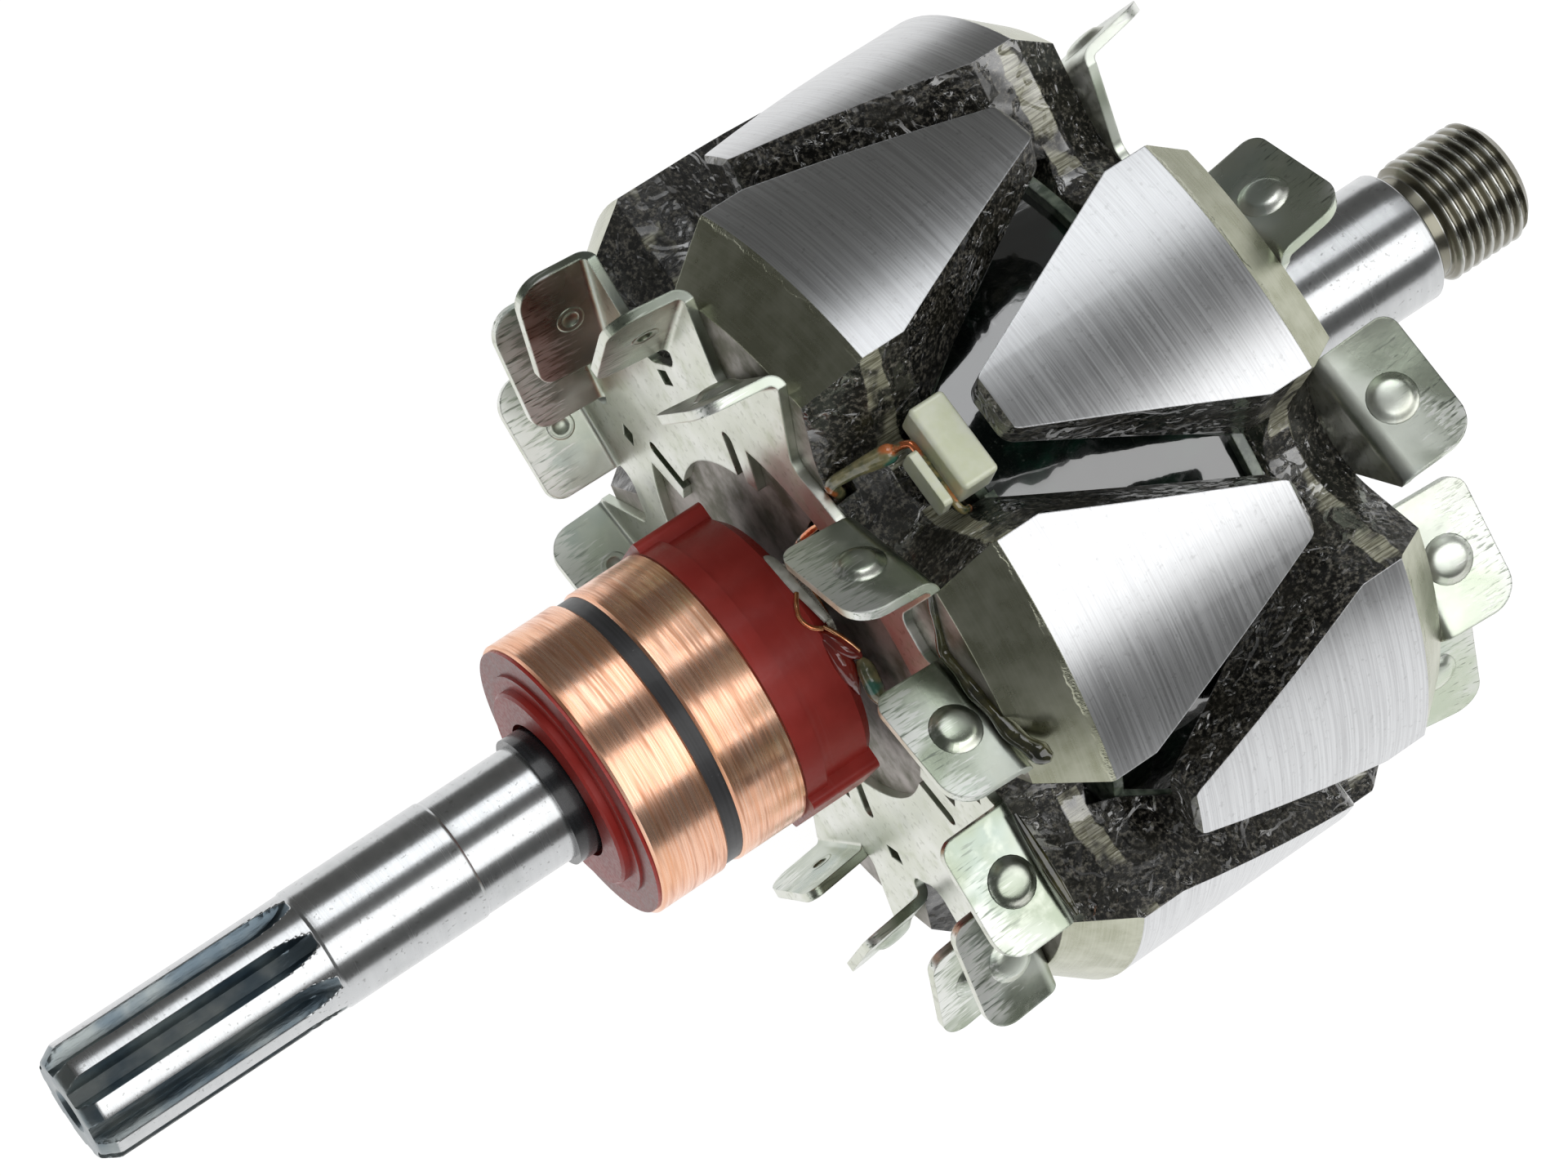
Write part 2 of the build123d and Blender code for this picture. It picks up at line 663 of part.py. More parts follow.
def main():
    outer_middle = (outer_ring_back_x + outer_ring_front_x) / 2
    inner_middle = (spacer_front_x + inner_ring_front_x) / 2
    start_angle, end_angle = post_angles
    pieces = {}
    pieces["shaft"] = make_shaft()
    pieces["drive_end_collar"] = tube(front_face_x, collar_face_x, collar_land_r + press_gap,
                                      collar_diameter / 2, collar_chamfer)
    pieces["rear_pole"] = make_rear_pole()
    pieces["front_pole"] = make_front_pole()
    pieces["pole_core"] = tube(rear_face_x + hub_back, front_forging_x - hub_back,
                               core_seat_r + press_gap, core_r)
    pieces["bobbin"] = make_bobbin()
    pieces["rear_insulator"] = make_washer(rear_face_x + hub_back)
    pieces["front_insulator"] = make_washer(front_forging_x - hub_back - washer_thickness)
    coil_start = rear_face_x + coil_back
    coil_end = front_forging_x - coil_back
    pieces["field_winding"] = tube(coil_start, coil_end, barrel_outer, winding_r)
    pieces["coil_wrap"] = tube(coil_start, coil_end, winding_r, wrap_r)
    pieces["shaft_sleeve"] = tube(moulding_back_x - sleeve_overhang, moulding_front_x - sleeve_wall,
                                  rear_r + press_gap, sleeve_r)
    pieces["slip_ring_outer"] = tube(outer_ring_back_x, outer_ring_front_x, barrel_r, ring_r, ring_chamfer)
    pieces["slip_ring_inner"] = tube(spacer_front_x, inner_ring_front_x, barrel_r, ring_r, ring_chamfer)
    pieces["ring_spacer"] = tube(outer_ring_front_x, spacer_front_x, barrel_r, ring_r - spacer_recess)
    pieces["start_terminal"] = around(bar_and_tab(outer_middle), start_angle)
    pieces["end_terminal"] = around(bar_and_tab(inner_middle), end_angle)
    pieces["slip_ring_moulding"] = make_moulding([pieces["start_terminal"], pieces["end_terminal"]])
    pieces["lead_start"] = make_lead(start_angle)
    pieces["lead_end"] = make_lead(end_angle)
    pieces["lead_start_sleeve"] = make_lead_sleeve(start_angle) - pieces["lead_start"]
    pieces["lead_end_sleeve"] = make_lead_sleeve(end_angle) - pieces["lead_end"]
    pieces["start_seal"] = make_seal(start_angle, pieces["slip_ring_moulding"], pieces["start_terminal"],
                                     pieces["lead_start"])
    pieces["end_seal"] = make_seal(end_angle, pieces["slip_ring_moulding"], pieces["end_terminal"],
                                   pieces["lead_end"])
    rear_fan = make_fan(rear_blade_angles, rear_blade_inner, rear_blade_outer, rear_blade_skew,
                        rear_blade_lean)
    front_fan = make_fan(front_blade_angles, front_blade_inner, front_blade_outer, front_blade_skew,
                         front_blade_lean)
    pieces["rear_fan"] = Pos(rear_face_x, 0, 0) * rear_fan
    pieces["front_fan"] = Pos(front_face_x, 0, 0) * mirror(front_fan, about=Plane.YZ)

    os.makedirs("parts", exist_ok=True)
    for name, solid in pieces.items():
        export_step(solid, f"parts/{name}.step")
        print(name, round(solid.volume, 1), len(solid.solids()))


main()
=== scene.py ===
import math

import bpy
import numpy as np
from mathutils import Matrix, Vector


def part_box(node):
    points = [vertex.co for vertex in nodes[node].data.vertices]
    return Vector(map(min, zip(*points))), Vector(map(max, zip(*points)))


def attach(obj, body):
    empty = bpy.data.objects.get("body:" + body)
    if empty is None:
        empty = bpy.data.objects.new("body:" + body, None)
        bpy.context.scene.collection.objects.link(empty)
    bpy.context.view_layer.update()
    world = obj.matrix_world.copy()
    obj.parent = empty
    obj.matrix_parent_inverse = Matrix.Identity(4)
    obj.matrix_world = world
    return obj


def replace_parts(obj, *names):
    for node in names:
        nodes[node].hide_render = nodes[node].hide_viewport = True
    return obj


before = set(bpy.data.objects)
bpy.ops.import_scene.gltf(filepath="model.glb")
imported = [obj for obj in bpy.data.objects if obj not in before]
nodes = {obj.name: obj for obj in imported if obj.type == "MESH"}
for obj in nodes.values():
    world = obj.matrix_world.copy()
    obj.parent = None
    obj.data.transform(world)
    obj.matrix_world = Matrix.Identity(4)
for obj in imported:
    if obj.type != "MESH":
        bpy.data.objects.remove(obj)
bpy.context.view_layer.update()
MM = 0.001

# Places along the shaft and radii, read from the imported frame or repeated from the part, in mm
REAR_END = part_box("shaft")[0].x / MM
THREAD_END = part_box("shaft")[1].x / MM
REAR_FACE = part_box("rear_pole")[0].x / MM
FRONT_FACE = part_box("front_pole")[1].x / MM
COLLAR_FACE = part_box("drive_end_collar")[1].x / MM
FRONT_FORGING = FRONT_FACE + 1.7
JOURNAL_R = 7.5
REAR_R = 7.34
CORE_SEAT_R = 9.0
COLLAR_LAND_R = 8.7
SEAT_R = 8.5
THREAD_R = 8.0
UNDERCUT_R = 6.8
JOURNAL_FAR = REAR_FACE - 68.1
JOURNAL_NEAR = REAR_FACE - 49.25
JOURNAL_CHAMFER = 0.35
SEAT_END = COLLAR_FACE + 20.9
THREAD_START = SEAT_END + 2.1
THREAD_PITCH = 1.5
POLE_R = 52.5
# The trimmed strip in the poles' valleys, in mm from each pole's outer face
STRIP_BACK = 9.2
STRIP_FRONT = 6.5
# The first lead post's place round the shaft, in degrees from +Z towards +Y
POST_ANGLE = 10.0


def radial(x, radius, angle):
    """A point in metres from mm along the shaft, mm from its axis and degrees from +Z towards +Y."""
    a = math.radians(angle)
    return Vector((x, radius * math.sin(a), radius * math.cos(a))) * MM


def add_object(name, data):
    made = bpy.data.objects.new(name, data)
    bpy.context.scene.collection.objects.link(made)
    return made


def empty_material(name):
    material = bpy.data.materials.new(name)
    material.use_nodes = True
    material.node_tree.nodes.clear()
    return material


# Node materials
class Look:
    """A node material under construction."""

    def __init__(self, name):
        self.material = empty_material(name)
        self.tree = self.material.node_tree
        output = self.tree.nodes.new("ShaderNodeOutputMaterial")
        self.shader = self.tree.nodes.new("ShaderNodeBsdfPrincipled")
        self.tree.links.new(self.shader.outputs[0], output.inputs[0])
        self.place = self.node("ShaderNodeTexCoord", output="Object")
        split = self.tree.nodes.new("ShaderNodeSeparateXYZ")
        self.tree.links.new(self.place, split.inputs[0])
        self.x, self.y, self.z = split.outputs

    def put(self, socket, value):
        if isinstance(value, bpy.types.NodeSocket):
            self.tree.links.new(value, socket)
        elif hasattr(value, "__len__") and len(value) == 3 and len(socket.default_value) == 4:
            socket.default_value = (*value, 1.0)
        else:
            socket.default_value = value

    def node(self, kind, inputs=None, output=0, **properties):
        made = self.tree.nodes.new(kind)
        for key, value in properties.items():
            setattr(made, key, value)
        for key, value in (inputs or {}).items():
            self.put(made.inputs[key], value)
        return made.outputs[output]

    def set(self, **values):
        for key, value in values.items():
            self.put(self.shader.inputs[key.replace("_", " ")], value)

    def math(self, operation, a, b=0.0, clamp=False):
        return self.node("ShaderNodeMath", {0: a, 1: b}, operation=operation, use_clamp=clamp)

    def step(self, value, low, high):
        """0 at low and 1 at high, smooth between them; low may be the larger number."""
        if low < high:
            return self.node("ShaderNodeMapRange", {"Value": value, "From Min": low, "From Max": high},
                             interpolation_type="SMOOTHSTEP")
        return self.node("ShaderNodeMapRange", {"Value": value, "From Min": high, "From Max": low,
                                                "To Min": 1.0, "To Max": 0.0},
                         interpolation_type="SMOOTHSTEP")

    def noise(self, along, around, detail=3.0, roughness=0.55, distortion=0.0, shift=0.0):
        """Noise with so many cycles a metre along the shaft and round it."""
        where = self.node("ShaderNodeVectorMath", {0: self.place, 1: (along, around, around)},
                          operation="MULTIPLY")
        if shift:
            where = self.node("ShaderNodeVectorMath", {0: where, 1: (shift, shift, shift)},
                              operation="ADD")
        return self.node("ShaderNodeTexNoise", {"Vector": where, "Scale": 1.0, "Detail": detail,
                                                "Roughness": roughness, "Distortion": distortion})

    def mix(self, factor, a, b):
        return self.node("ShaderNodeMix", {0: factor, 6: a, 7: b}, output=2, data_type="RGBA")

    def blend(self, factor, a, b):
        return self.node("ShaderNodeMix", {0: factor, 2: a, 3: b}, output=0, data_type="FLOAT")

    def bump(self, height, distance, strength=1.0, normal=None):
        inputs = {"Height": height, "Distance": distance * MM, "Strength": strength}
        if normal is not None:
            inputs["Normal"] = normal
        return self.node("ShaderNodeBump", inputs)

    def radius(self):
        squares = self.math("ADD", self.math("MULTIPLY", self.y, self.y),
                            self.math("MULTIPLY", self.z, self.z))
        return self.math("SQRT", squares)

    def facing(self):
        """How far the surface's own normal points along the shaft, and away from the shaft."""
        normal = self.node("ShaderNodeNewGeometry", output="True Normal")
        along = self.tree.nodes.new("ShaderNodeSeparateXYZ")
        self.tree.links.new(normal, along.inputs[0])
        outward = self.node("ShaderNodeVectorMath",
                            {0: self.node("ShaderNodeCombineXYZ", {"Y": self.y, "Z": self.z})},
                            operation="NORMALIZE")
        away = self.node("ShaderNodeVectorMath", {0: normal, 1: outward}, output="Value",
                         operation="DOT_PRODUCT")
        return along.outputs[0], away

    def turned(self, amount, rotation=0.25):
        """Stretches highlights along the shaft, as fine turning marks do."""
        tangent = self.node("ShaderNodeTangent", direction_type="RADIAL", axis="X")
        self.set(Anisotropic=amount, Anisotropic_Rotation=rotation, Tangent=tangent)


def steel_shaft():
    look = Look("ground_steel")
    fine = look.noise(6000, 40, detail=2.0)
    coarse = look.noise(900, 12, detail=3.0, shift=3.1)
    cloud = look.noise(160, 160, detail=3.0, shift=7.7)
    pits = look.noise(1900, 1900, detail=2.0, shift=11.3)
    radius = look.radius()
    groove = look.math("MULTIPLY", look.step(radius, (REAR_R - 0.03) * MM, (REAR_R - 0.16) * MM),
                       look.step(look.x, (JOURNAL_FAR + 0.4) * MM, (JOURNAL_FAR - 0.1) * MM))
    thread = look.step(look.x, (THREAD_START - 0.2) * MM, (THREAD_START + 0.2) * MM)
    deep = look.math("MULTIPLY", thread,
                     look.step(radius, (THREAD_R - 0.02) * MM, (THREAD_R - 0.4) * MM))
    undercut = look.math("MULTIPLY", look.step(look.x, (SEAT_END - 0.3) * MM, SEAT_END * MM),
                         look.step(look.x, THREAD_START * MM, (THREAD_START - 0.2) * MM))
    base = look.mix(coarse, (0.52, 0.53, 0.54), (0.64, 0.65, 0.655))
    base = look.mix(look.math("MULTIPLY", look.step(cloud, 0.5, 0.75), 0.4), base, (0.44, 0.455, 0.45))
    base = look.mix(look.math("MULTIPLY", look.step(pits, 0.64, 0.70), 0.5), base, (0.24, 0.24, 0.23))
    base = look.mix(groove, base, look.mix(look.step(cloud, 0.35, 0.65), (0.13, 0.17, 0.20),
                                           (0.30, 0.33, 0.33)))
    base = look.mix(look.math("MULTIPLY", thread, 0.4), base, (0.46, 0.45, 0.38))
    base = look.mix(undercut, base, (0.26, 0.25, 0.20))
    base = look.mix(deep, base, (0.21, 0.20, 0.16))
    rough = look.blend(fine, 0.19, 0.31)
    rough = look.blend(groove, rough, 0.34)
    normal = look.bump(fine, 0.003, 0.7)
    milled = look.noise(700, 2600, shift=1.7)
    normal = look.bump(look.math("MULTIPLY", groove, milled), 0.04, 0.8, normal)
    look.set(Base_Color=base, Metallic=1.0, Roughness=rough, Normal=normal)
    look.turned(0.5)
    return look.material


def steel_pole(name, outer_face, inwards):
    """Turned outside, ground chamfers, a trimmed strip in the valleys and dark varnish elsewhere."""
    look = Look(name)
    radius = look.radius()
    along, away = look.facing()
    depth = look.math("MULTIPLY", look.math("SUBTRACT", look.x, outer_face * MM), float(inwards))
    turned = look.math("MULTIPLY", look.step(radius, (POLE_R - 0.25) * MM, (POLE_R - 0.12) * MM),
                       look.step(away, 0.93, 0.97))
    slope = look.math("MULTIPLY", look.step(away, 0.70, 0.75), look.step(away, 0.86, 0.82))
    ground = look.math("MULTIPLY", slope, look.step(radius, 46.4 * MM, 46.8 * MM))
    outer = look.math("MULTIPLY", along, -float(inwards))
    face = look.math("MULTIPLY", look.step(outer, 0.95, 0.98), look.step(depth, 2.2 * MM, 1.9 * MM))
    cover = look.noise(230, 330, detail=3.0, distortion=0.4, shift=12.4)
    edge = look.math("MULTIPLY", look.math("SUBTRACT", cover, 0.5), 1.6 * MM)
    wavy = look.math("ADD", depth, edge)
    trimmed = look.math("MULTIPLY", look.step(wavy, (STRIP_FRONT - 0.15) * MM, (STRIP_FRONT + 0.1) * MM),
                        look.step(wavy, (STRIP_BACK + 0.1) * MM, (STRIP_BACK - 0.1) * MM))
    trimmed = look.math("MULTIPLY", trimmed, look.step(away, 0.92, 0.88))
    bared = look.noise(150, 150, detail=3.0, shift=15.2)
    trimmed = look.math("MULTIPLY", trimmed, look.step(bared, 0.40, 0.50))

    lines = look.noise(4300, 60, detail=2.0)
    streaks = look.noise(1700, 45, detail=2.0, shift=2.3)
    cloud = look.noise(230, 230, detail=4.0, shift=5.9)
    pits = look.noise(1500, 1100, detail=3.0, roughness=0.65, shift=14.1)
    speck = look.noise(1700, 1700, detail=3.0, roughness=0.7, shift=9.1)
    drops = look.noise(560, 560, detail=1.0, distortion=0.5, shift=21.2)
    flow = look.noise(240, 240, detail=2.0, distortion=0.8, shift=4.4)
    runs = look.noise(90, 90, detail=2.0, distortion=1.2, shift=17.3)
    grain = look.noise(2600, 2600, detail=2.0, roughness=0.6, shift=6.6)
    ribs = look.noise(260, 4200, detail=2.0, shift=8.3)

    bright = look.mix(look.step(lines, 0.3, 0.7), (0.57, 0.575, 0.585), (0.73, 0.74, 0.75))
    bright = look.mix(look.math("MULTIPLY", look.step(streaks, 0.5, 0.8), 0.25), bright, (0.48, 0.48, 0.485))
    bright = look.mix(look.math("MULTIPLY", look.step(pits, 0.58, 0.70), 0.28), bright, (0.30, 0.30, 0.30))
    olive = look.mix(look.step(cloud, 0.35, 0.7), (0.36, 0.37, 0.265), (0.51, 0.52, 0.41))
    olive = look.mix(look.math("MULTIPLY", look.step(lines, 0.35, 0.7), 0.25), olive, (0.62, 0.63, 0.53))
    # The outer faces' brown-grey is partly the steel's own tone and partly a painted reflection.
    brown = look.mix(look.step(cloud, 0.3, 0.7), (0.13, 0.125, 0.085), (0.50, 0.465, 0.44))
    beige = look.mix(look.step(ribs, 0.35, 0.65), (0.17, 0.16, 0.10), (0.56, 0.55, 0.42))
    dark = look.mix(look.step(speck, 0.46, 0.70), (0.007, 0.007, 0.006), (0.21, 0.195, 0.16))
    dark = look.mix(look.math("MULTIPLY", look.step(cloud, 0.45, 0.65), 0.5), dark, (0.028, 0.026, 0.018))

    base = look.mix(trimmed, dark, beige)
    base = look.mix(face, base, brown)
    base = look.mix(ground, base, olive)
    base = look.mix(turned, base, bright)
    metal = look.math("ADD", look.math("ADD", turned, ground), look.math("MULTIPLY", face, 0.8),
                      clamp=True)
    wet = look.step(runs, 0.44, 0.60)
    rough = look.blend(wet, 0.42, look.blend(look.step(speck, 0.45, 0.7), 0.10, 0.26))
    rough = look.blend(trimmed, rough, 0.40)
    rough = look.blend(face, rough, 0.50)
    rough = look.blend(ground, rough, look.blend(cloud, 0.22, 0.34))
    rough = look.blend(turned, rough, look.blend(lines, 0.27, 0.41))
    bare = look.math("ADD", turned, ground, clamp=True)
    raw = look.math("SUBTRACT", 1.0, look.math("ADD", bare, face, clamp=True))
    height = look.math("MULTIPLY", raw, look.math("ADD", look.math("MULTIPLY", flow, 1.0),
                                                  look.math("MULTIPLY", grain, 0.12)))
    pools = look.noise(150, 150, detail=2.0, distortion=1.0, shift=23.8)
    beads = look.math("ADD", look.step(drops, 0.58, 0.74), look.step(pools, 0.52, 0.58))
    beads = look.math("MULTIPLY", raw, beads)
    round_edges = look.node("ShaderNodeBevel", {"Radius": 0.22 * MM}, samples=4)
    normal = look.bump(height, 0.60, 0.8, round_edges)
    varnish = look.bump(beads, 0.50, 0.9, look.bump(flow, 0.3, 0.6, round_edges))
    normal = look.bump(look.math("MULTIPLY", turned, lines), 0.004, 0.8, normal)
    normal = look.bump(look.math("MULTIPLY", trimmed, ribs), 0.10, 0.8, normal)
    look.set(Base_Color=base, Metallic=metal, Roughness=rough, Normal=normal,
             Coat_Weight=look.math("MULTIPLY", raw, look.blend(wet, 0.25, 1.0)), Coat_Roughness=0.05,
             Coat_IOR=2.2, Coat_Normal=varnish)
    look.turned(look.math("MULTIPLY", turned, 0.55))
    return look.material


def zinc_fan(name, sheet_face, outwards, dull, clear):
    """Zinc plate: pale on the flat, darker olive on the blades and scratched towards their free edges; the
    blade colours hold painted reflection and shade, darker on the rear fan and lighter on the front.
    """
    look = Look(name)
    along, away = look.facing()
    flat = look.step(look.math("ABSOLUTE", along), 0.80, 0.95)
    rise = look.math("MULTIPLY", look.math("SUBTRACT", look.x, sheet_face * MM), float(outwards))
    cloud = look.noise(110, 110, detail=3.0)
    patch = look.noise(70, 70, detail=2.0, distortion=0.5, shift=13.3)
    mottle = look.noise(420, 420, detail=3.0, shift=3.3)
    fine = look.noise(2600, 2600, detail=2.0, shift=6.1)
    wave = look.noise(95, 95, detail=1.0, shift=9.4)
    scratch = look.noise(160, 2700, detail=2.0, roughness=0.6, shift=7.7)
    press = look.noise(60, 900, detail=2.0, shift=19.7)
    pale = look.mix(look.step(cloud, 0.35, 0.7), (0.66, 0.68, 0.59), (0.79, 0.80, 0.75))
    pale = look.mix(look.math("MULTIPLY", look.step(mottle, 0.52, 0.75), 0.5), pale, (0.50, 0.54, 0.40))
    pale = look.mix(look.math("MULTIPLY", look.step(press, 0.56, 0.70), 0.45), pale, (0.36, 0.37, 0.30))
    # The dull and clear blade tones passed in are painted reflection and shade, set for each fan and not by
    # the zinc itself.
    blade = look.mix(look.step(patch, 0.35, 0.65), dull, clear)
    blade = look.mix(look.math("MULTIPLY", look.step(cloud, 0.5, 0.7), 0.4), blade, (0.42, 0.50, 0.50))
    blade = look.mix(look.math("MULTIPLY", look.step(mottle, 0.5, 0.75), 0.4), blade, (0.72, 0.75, 0.66))
    near_edge = look.step(rise, 3.0 * MM, 10.2 * MM)
    scratched = look.step(look.math("ADD", scratch, look.math("MULTIPLY", near_edge, 0.30)), 0.66, 0.78)
    scratched = look.math("MULTIPLY", scratched, look.step(rise, 2.5 * MM, 4.5 * MM))
    scratched = look.math("MULTIPLY", scratched, look.step(patch, 0.38, 0.50))
    blade = look.mix(look.math("MULTIPLY", scratched, 0.85), blade, (0.86, 0.87, 0.84))
    dark_lines = look.math("MULTIPLY", look.step(scratch, 0.42, 0.32),
                           look.math("MULTIPLY", near_edge, 0.7))
    blade = look.mix(dark_lines, blade, (0.10, 0.115, 0.10))
    rim = look.step(away, 0.88, 0.96)
    base = look.mix(look.math("MAXIMUM", flat, rim), blade, pale)
    rough = look.blend(look.step(patch, 0.40, 0.62), 0.27, look.blend(mottle, 0.32, 0.50))
    rough = look.blend(flat, rough, look.blend(mottle, 0.26, 0.44))
    rough = look.blend(scratched, rough, 0.40)
    round_edges = look.node("ShaderNodeBevel", {"Radius": 0.30 * MM}, samples=4)
    normal = look.bump(wave, 0.9, 0.6, round_edges)
    normal = look.bump(mottle, 0.05, 0.5, normal)
    normal = look.bump(look.math("ADD", fine, look.math("MULTIPLY", scratched, 1.5)), 0.006, 0.5, normal)
    look.set(Base_Color=base, Metallic=1.0, Roughness=rough, Normal=normal)
    return look.material


def copper_ring():
    look = Look("ring_copper")
    lines = look.noise(4600, 60, detail=3.0)
    streaks = look.noise(1900, 90, detail=3.0, roughness=0.65, shift=4.2)
    cloud = look.noise(130, 90, detail=2.0, shift=1.9)
    base = look.mix(look.step(lines, 0.3, 0.7), (0.82, 0.41, 0.25), (0.96, 0.62, 0.46))
    base = look.mix(look.math("MULTIPLY", look.step(streaks, 0.50, 0.70), 0.65), base, (0.50, 0.20, 0.10))
    base = look.mix(look.math("MULTIPLY", look.step(cloud, 0.45, 0.7), 0.4), base, (0.84, 0.42, 0.20))
    rough = look.blend(look.step(streaks, 0.3, 0.7), 0.20, 0.36)
    normal = look.bump(look.math("ADD", lines, look.math("MULTIPLY", streaks, 0.6)), 0.009, 0.9)
    look.set(Base_Color=base, Metallic=0.92, Roughness=rough, Normal=normal)
    look.turned(0.6)
    return look.material


def red_moulding():
    look = Look("red_moulding")
    along = look.facing()[0]
    cloud = look.noise(140, 140, detail=3.0)
    streaks = look.noise(1300, 60, detail=3.0, shift=2.2)
    dust = look.noise(2300, 2300, detail=2.0, shift=5.5)
    face_mottle = look.noise(700, 700, detail=3.0, roughness=0.7, shift=16.6)
    base = look.mix(look.step(cloud, 0.3, 0.75), (0.43, 0.033, 0.026), (0.56, 0.052, 0.042))
    base = look.mix(look.math("MULTIPLY", look.step(streaks, 0.55, 0.75), 0.25), base,
                    (0.52, 0.10, 0.085))
    # The ring face towards the rear end is paler pink, mottled.
    ring_face = look.math("MULTIPLY", look.step(along, -0.90, -0.97),
                          look.step(look.radius(), 13.6 * MM, 14.2 * MM))
    base = look.mix(look.math("MULTIPLY", ring_face, look.blend(look.step(face_mottle, 0.35, 0.7), 0.35, 0.75)),
                    base, (0.42, 0.22, 0.21))
    rough = look.blend(look.step(dust, 0.35, 0.7), 0.30, 0.44)
    normal = look.bump(streaks, 0.02, 0.5, look.bump(look.noise(90, 90, shift=8.0), 0.25, 0.3))
    look.set(Base_Color=base, Roughness=rough, Normal=normal, Specular_IOR_Level=0.34,
             Coat_Weight=0.06, Coat_Roughness=0.2, Coat_Normal=normal)
    return look.material


def black_plastic(name, low, high, rough_low, rough_high, coat):
    look = Look(name)
    streaks = look.noise(1500, 40, detail=3.0)
    dust = look.noise(1200, 1200, detail=3.0, roughness=0.7, shift=3.3)
    base = look.mix(look.step(streaks, 0.35, 0.7), low, high)
    base = look.mix(look.math("MULTIPLY", look.step(dust, 0.68, 0.78), 0.5), base, (0.25, 0.25, 0.26))
    look.set(Base_Color=base, Roughness=look.blend(dust, rough_low, rough_high),
             Normal=look.bump(streaks, 0.012, 0.6), Coat_Weight=coat, Coat_Roughness=0.12)
    return look.material


def nylon_former():
    """Cream nylon where the post is clean, greenish under varnish on the flaps and flanges."""
    look = Look("former_nylon")
    radius = look.radius()
    cloud = look.noise(300, 300, detail=3.0)
    drip = look.noise(520, 520, detail=3.0, shift=5.1)
    ragged = look.math("ADD", radius, look.math("MULTIPLY", drip, 1.6 * MM))
    clean = look.step(ragged, 42.6 * MM, 43.6 * MM)
    cream = look.mix(look.step(cloud, 0.3, 0.75), (0.79, 0.83, 0.60), (0.90, 0.93, 0.77))
    green = look.mix(look.step(drip, 0.35, 0.65), (0.09, 0.12, 0.09), (0.26, 0.31, 0.24))
    round_edges = look.node("ShaderNodeBevel", {"Radius": 0.3 * MM}, samples=4)
    normal = look.bump(drip, 0.10, 0.5, round_edges)
    look.set(Base_Color=look.mix(clean, green, cream), Roughness=look.blend(clean, 0.12, 0.28),
             Normal=normal, Subsurface_Weight=0.25, Subsurface_Radius=(0.002, 0.002, 0.0012),
             Subsurface_Scale=0.6, Coat_Weight=0.6, Coat_Roughness=0.08, Coat_IOR=1.6,
             Coat_Normal=normal)
    return look.material


def varnished_wrap():
    """Dark green-black tape under a thick, smooth coat of varnish."""
    look = Look("varnished_wrap")
    pool = look.noise(48, 48, detail=1.0, distortion=0.5)
    ripple = look.noise(190, 190, detail=1.0, distortion=0.6, shift=6.2)
    tape = look.noise(420, 60, detail=2.0, shift=4.7)
    green = look.noise(130, 130, detail=3.0, shift=8.8)
    speck = look.noise(2000, 2000, detail=2.0, shift=2.6)
    base = look.mix(look.step(green, 0.48, 0.72), (0.004, 0.007, 0.006), (0.010, 0.050, 0.030))
    base = look.mix(look.math("MULTIPLY", look.step(speck, 0.66, 0.74), 0.4), base, (0.12, 0.14, 0.12))
    normal = look.bump(pool, 1.3, 0.8, look.bump(ripple, 0.22, 0.7, look.bump(tape, 0.05, 0.5)))
    look.set(Base_Color=base, Roughness=0.12, Normal=normal, Specular_IOR_Level=0.8,
             Coat_Weight=1.0, Coat_Roughness=0.03, Coat_IOR=2.0, Coat_Normal=normal)
    return look.material


def varnished_lead():
    """Enamelled wire that shows bright here and there through olive and green varnish."""
    look = Look("lead_copper")
    bare = look.noise(330, 330, detail=2.0, shift=3.7)
    stain = look.noise(800, 800, detail=3.0, shift=1.2)
    copper = look.mix(look.step(stain, 0.35, 0.7), (0.72, 0.17, 0.04), (0.92, 0.40, 0.16))
    crust = look.mix(look.step(stain, 0.35, 0.65), (0.035, 0.055, 0.025), (0.30, 0.24, 0.09))
    shown = look.step(bare, 0.42, 0.50)
    normal = look.bump(stain, 0.10, 0.6)
    look.set(Base_Color=look.mix(shown, crust, copper), Metallic=look.math("MULTIPLY", shown, 0.8),
             Roughness=look.blend(stain, 0.14, 0.30), Normal=normal,
             Coat_Weight=0.9, Coat_Roughness=0.05, Coat_IOR=1.7, Coat_Normal=normal)
    return look.material


def plain_metal(name, low, high, scale, rough_low, rough_high, bump, coat=0.0):
    look = Look(name)
    cloud = look.noise(scale, scale, detail=3.0)
    fine = look.noise(scale * 9, scale * 9, detail=2.0, shift=4.0)
    look.set(Base_Color=look.mix(look.step(cloud, 0.3, 0.7), low, high), Metallic=1.0,
             Roughness=look.blend(fine, rough_low, rough_high), Normal=look.bump(cloud, bump, 0.6),
             Coat_Weight=coat, Coat_Roughness=0.06)
    return look.material


def soft_surface(name, low, high, scale, rough, bump, coat=0.0):
    look = Look(name)
    cloud = look.noise(scale, scale, detail=3.0)
    normal = look.bump(cloud, bump, 0.7)
    look.set(Base_Color=look.mix(look.step(cloud, 0.3, 0.7), low, high), Roughness=rough, Normal=normal,
             Coat_Weight=coat, Coat_Roughness=0.05, Coat_Normal=normal)
    return look.material


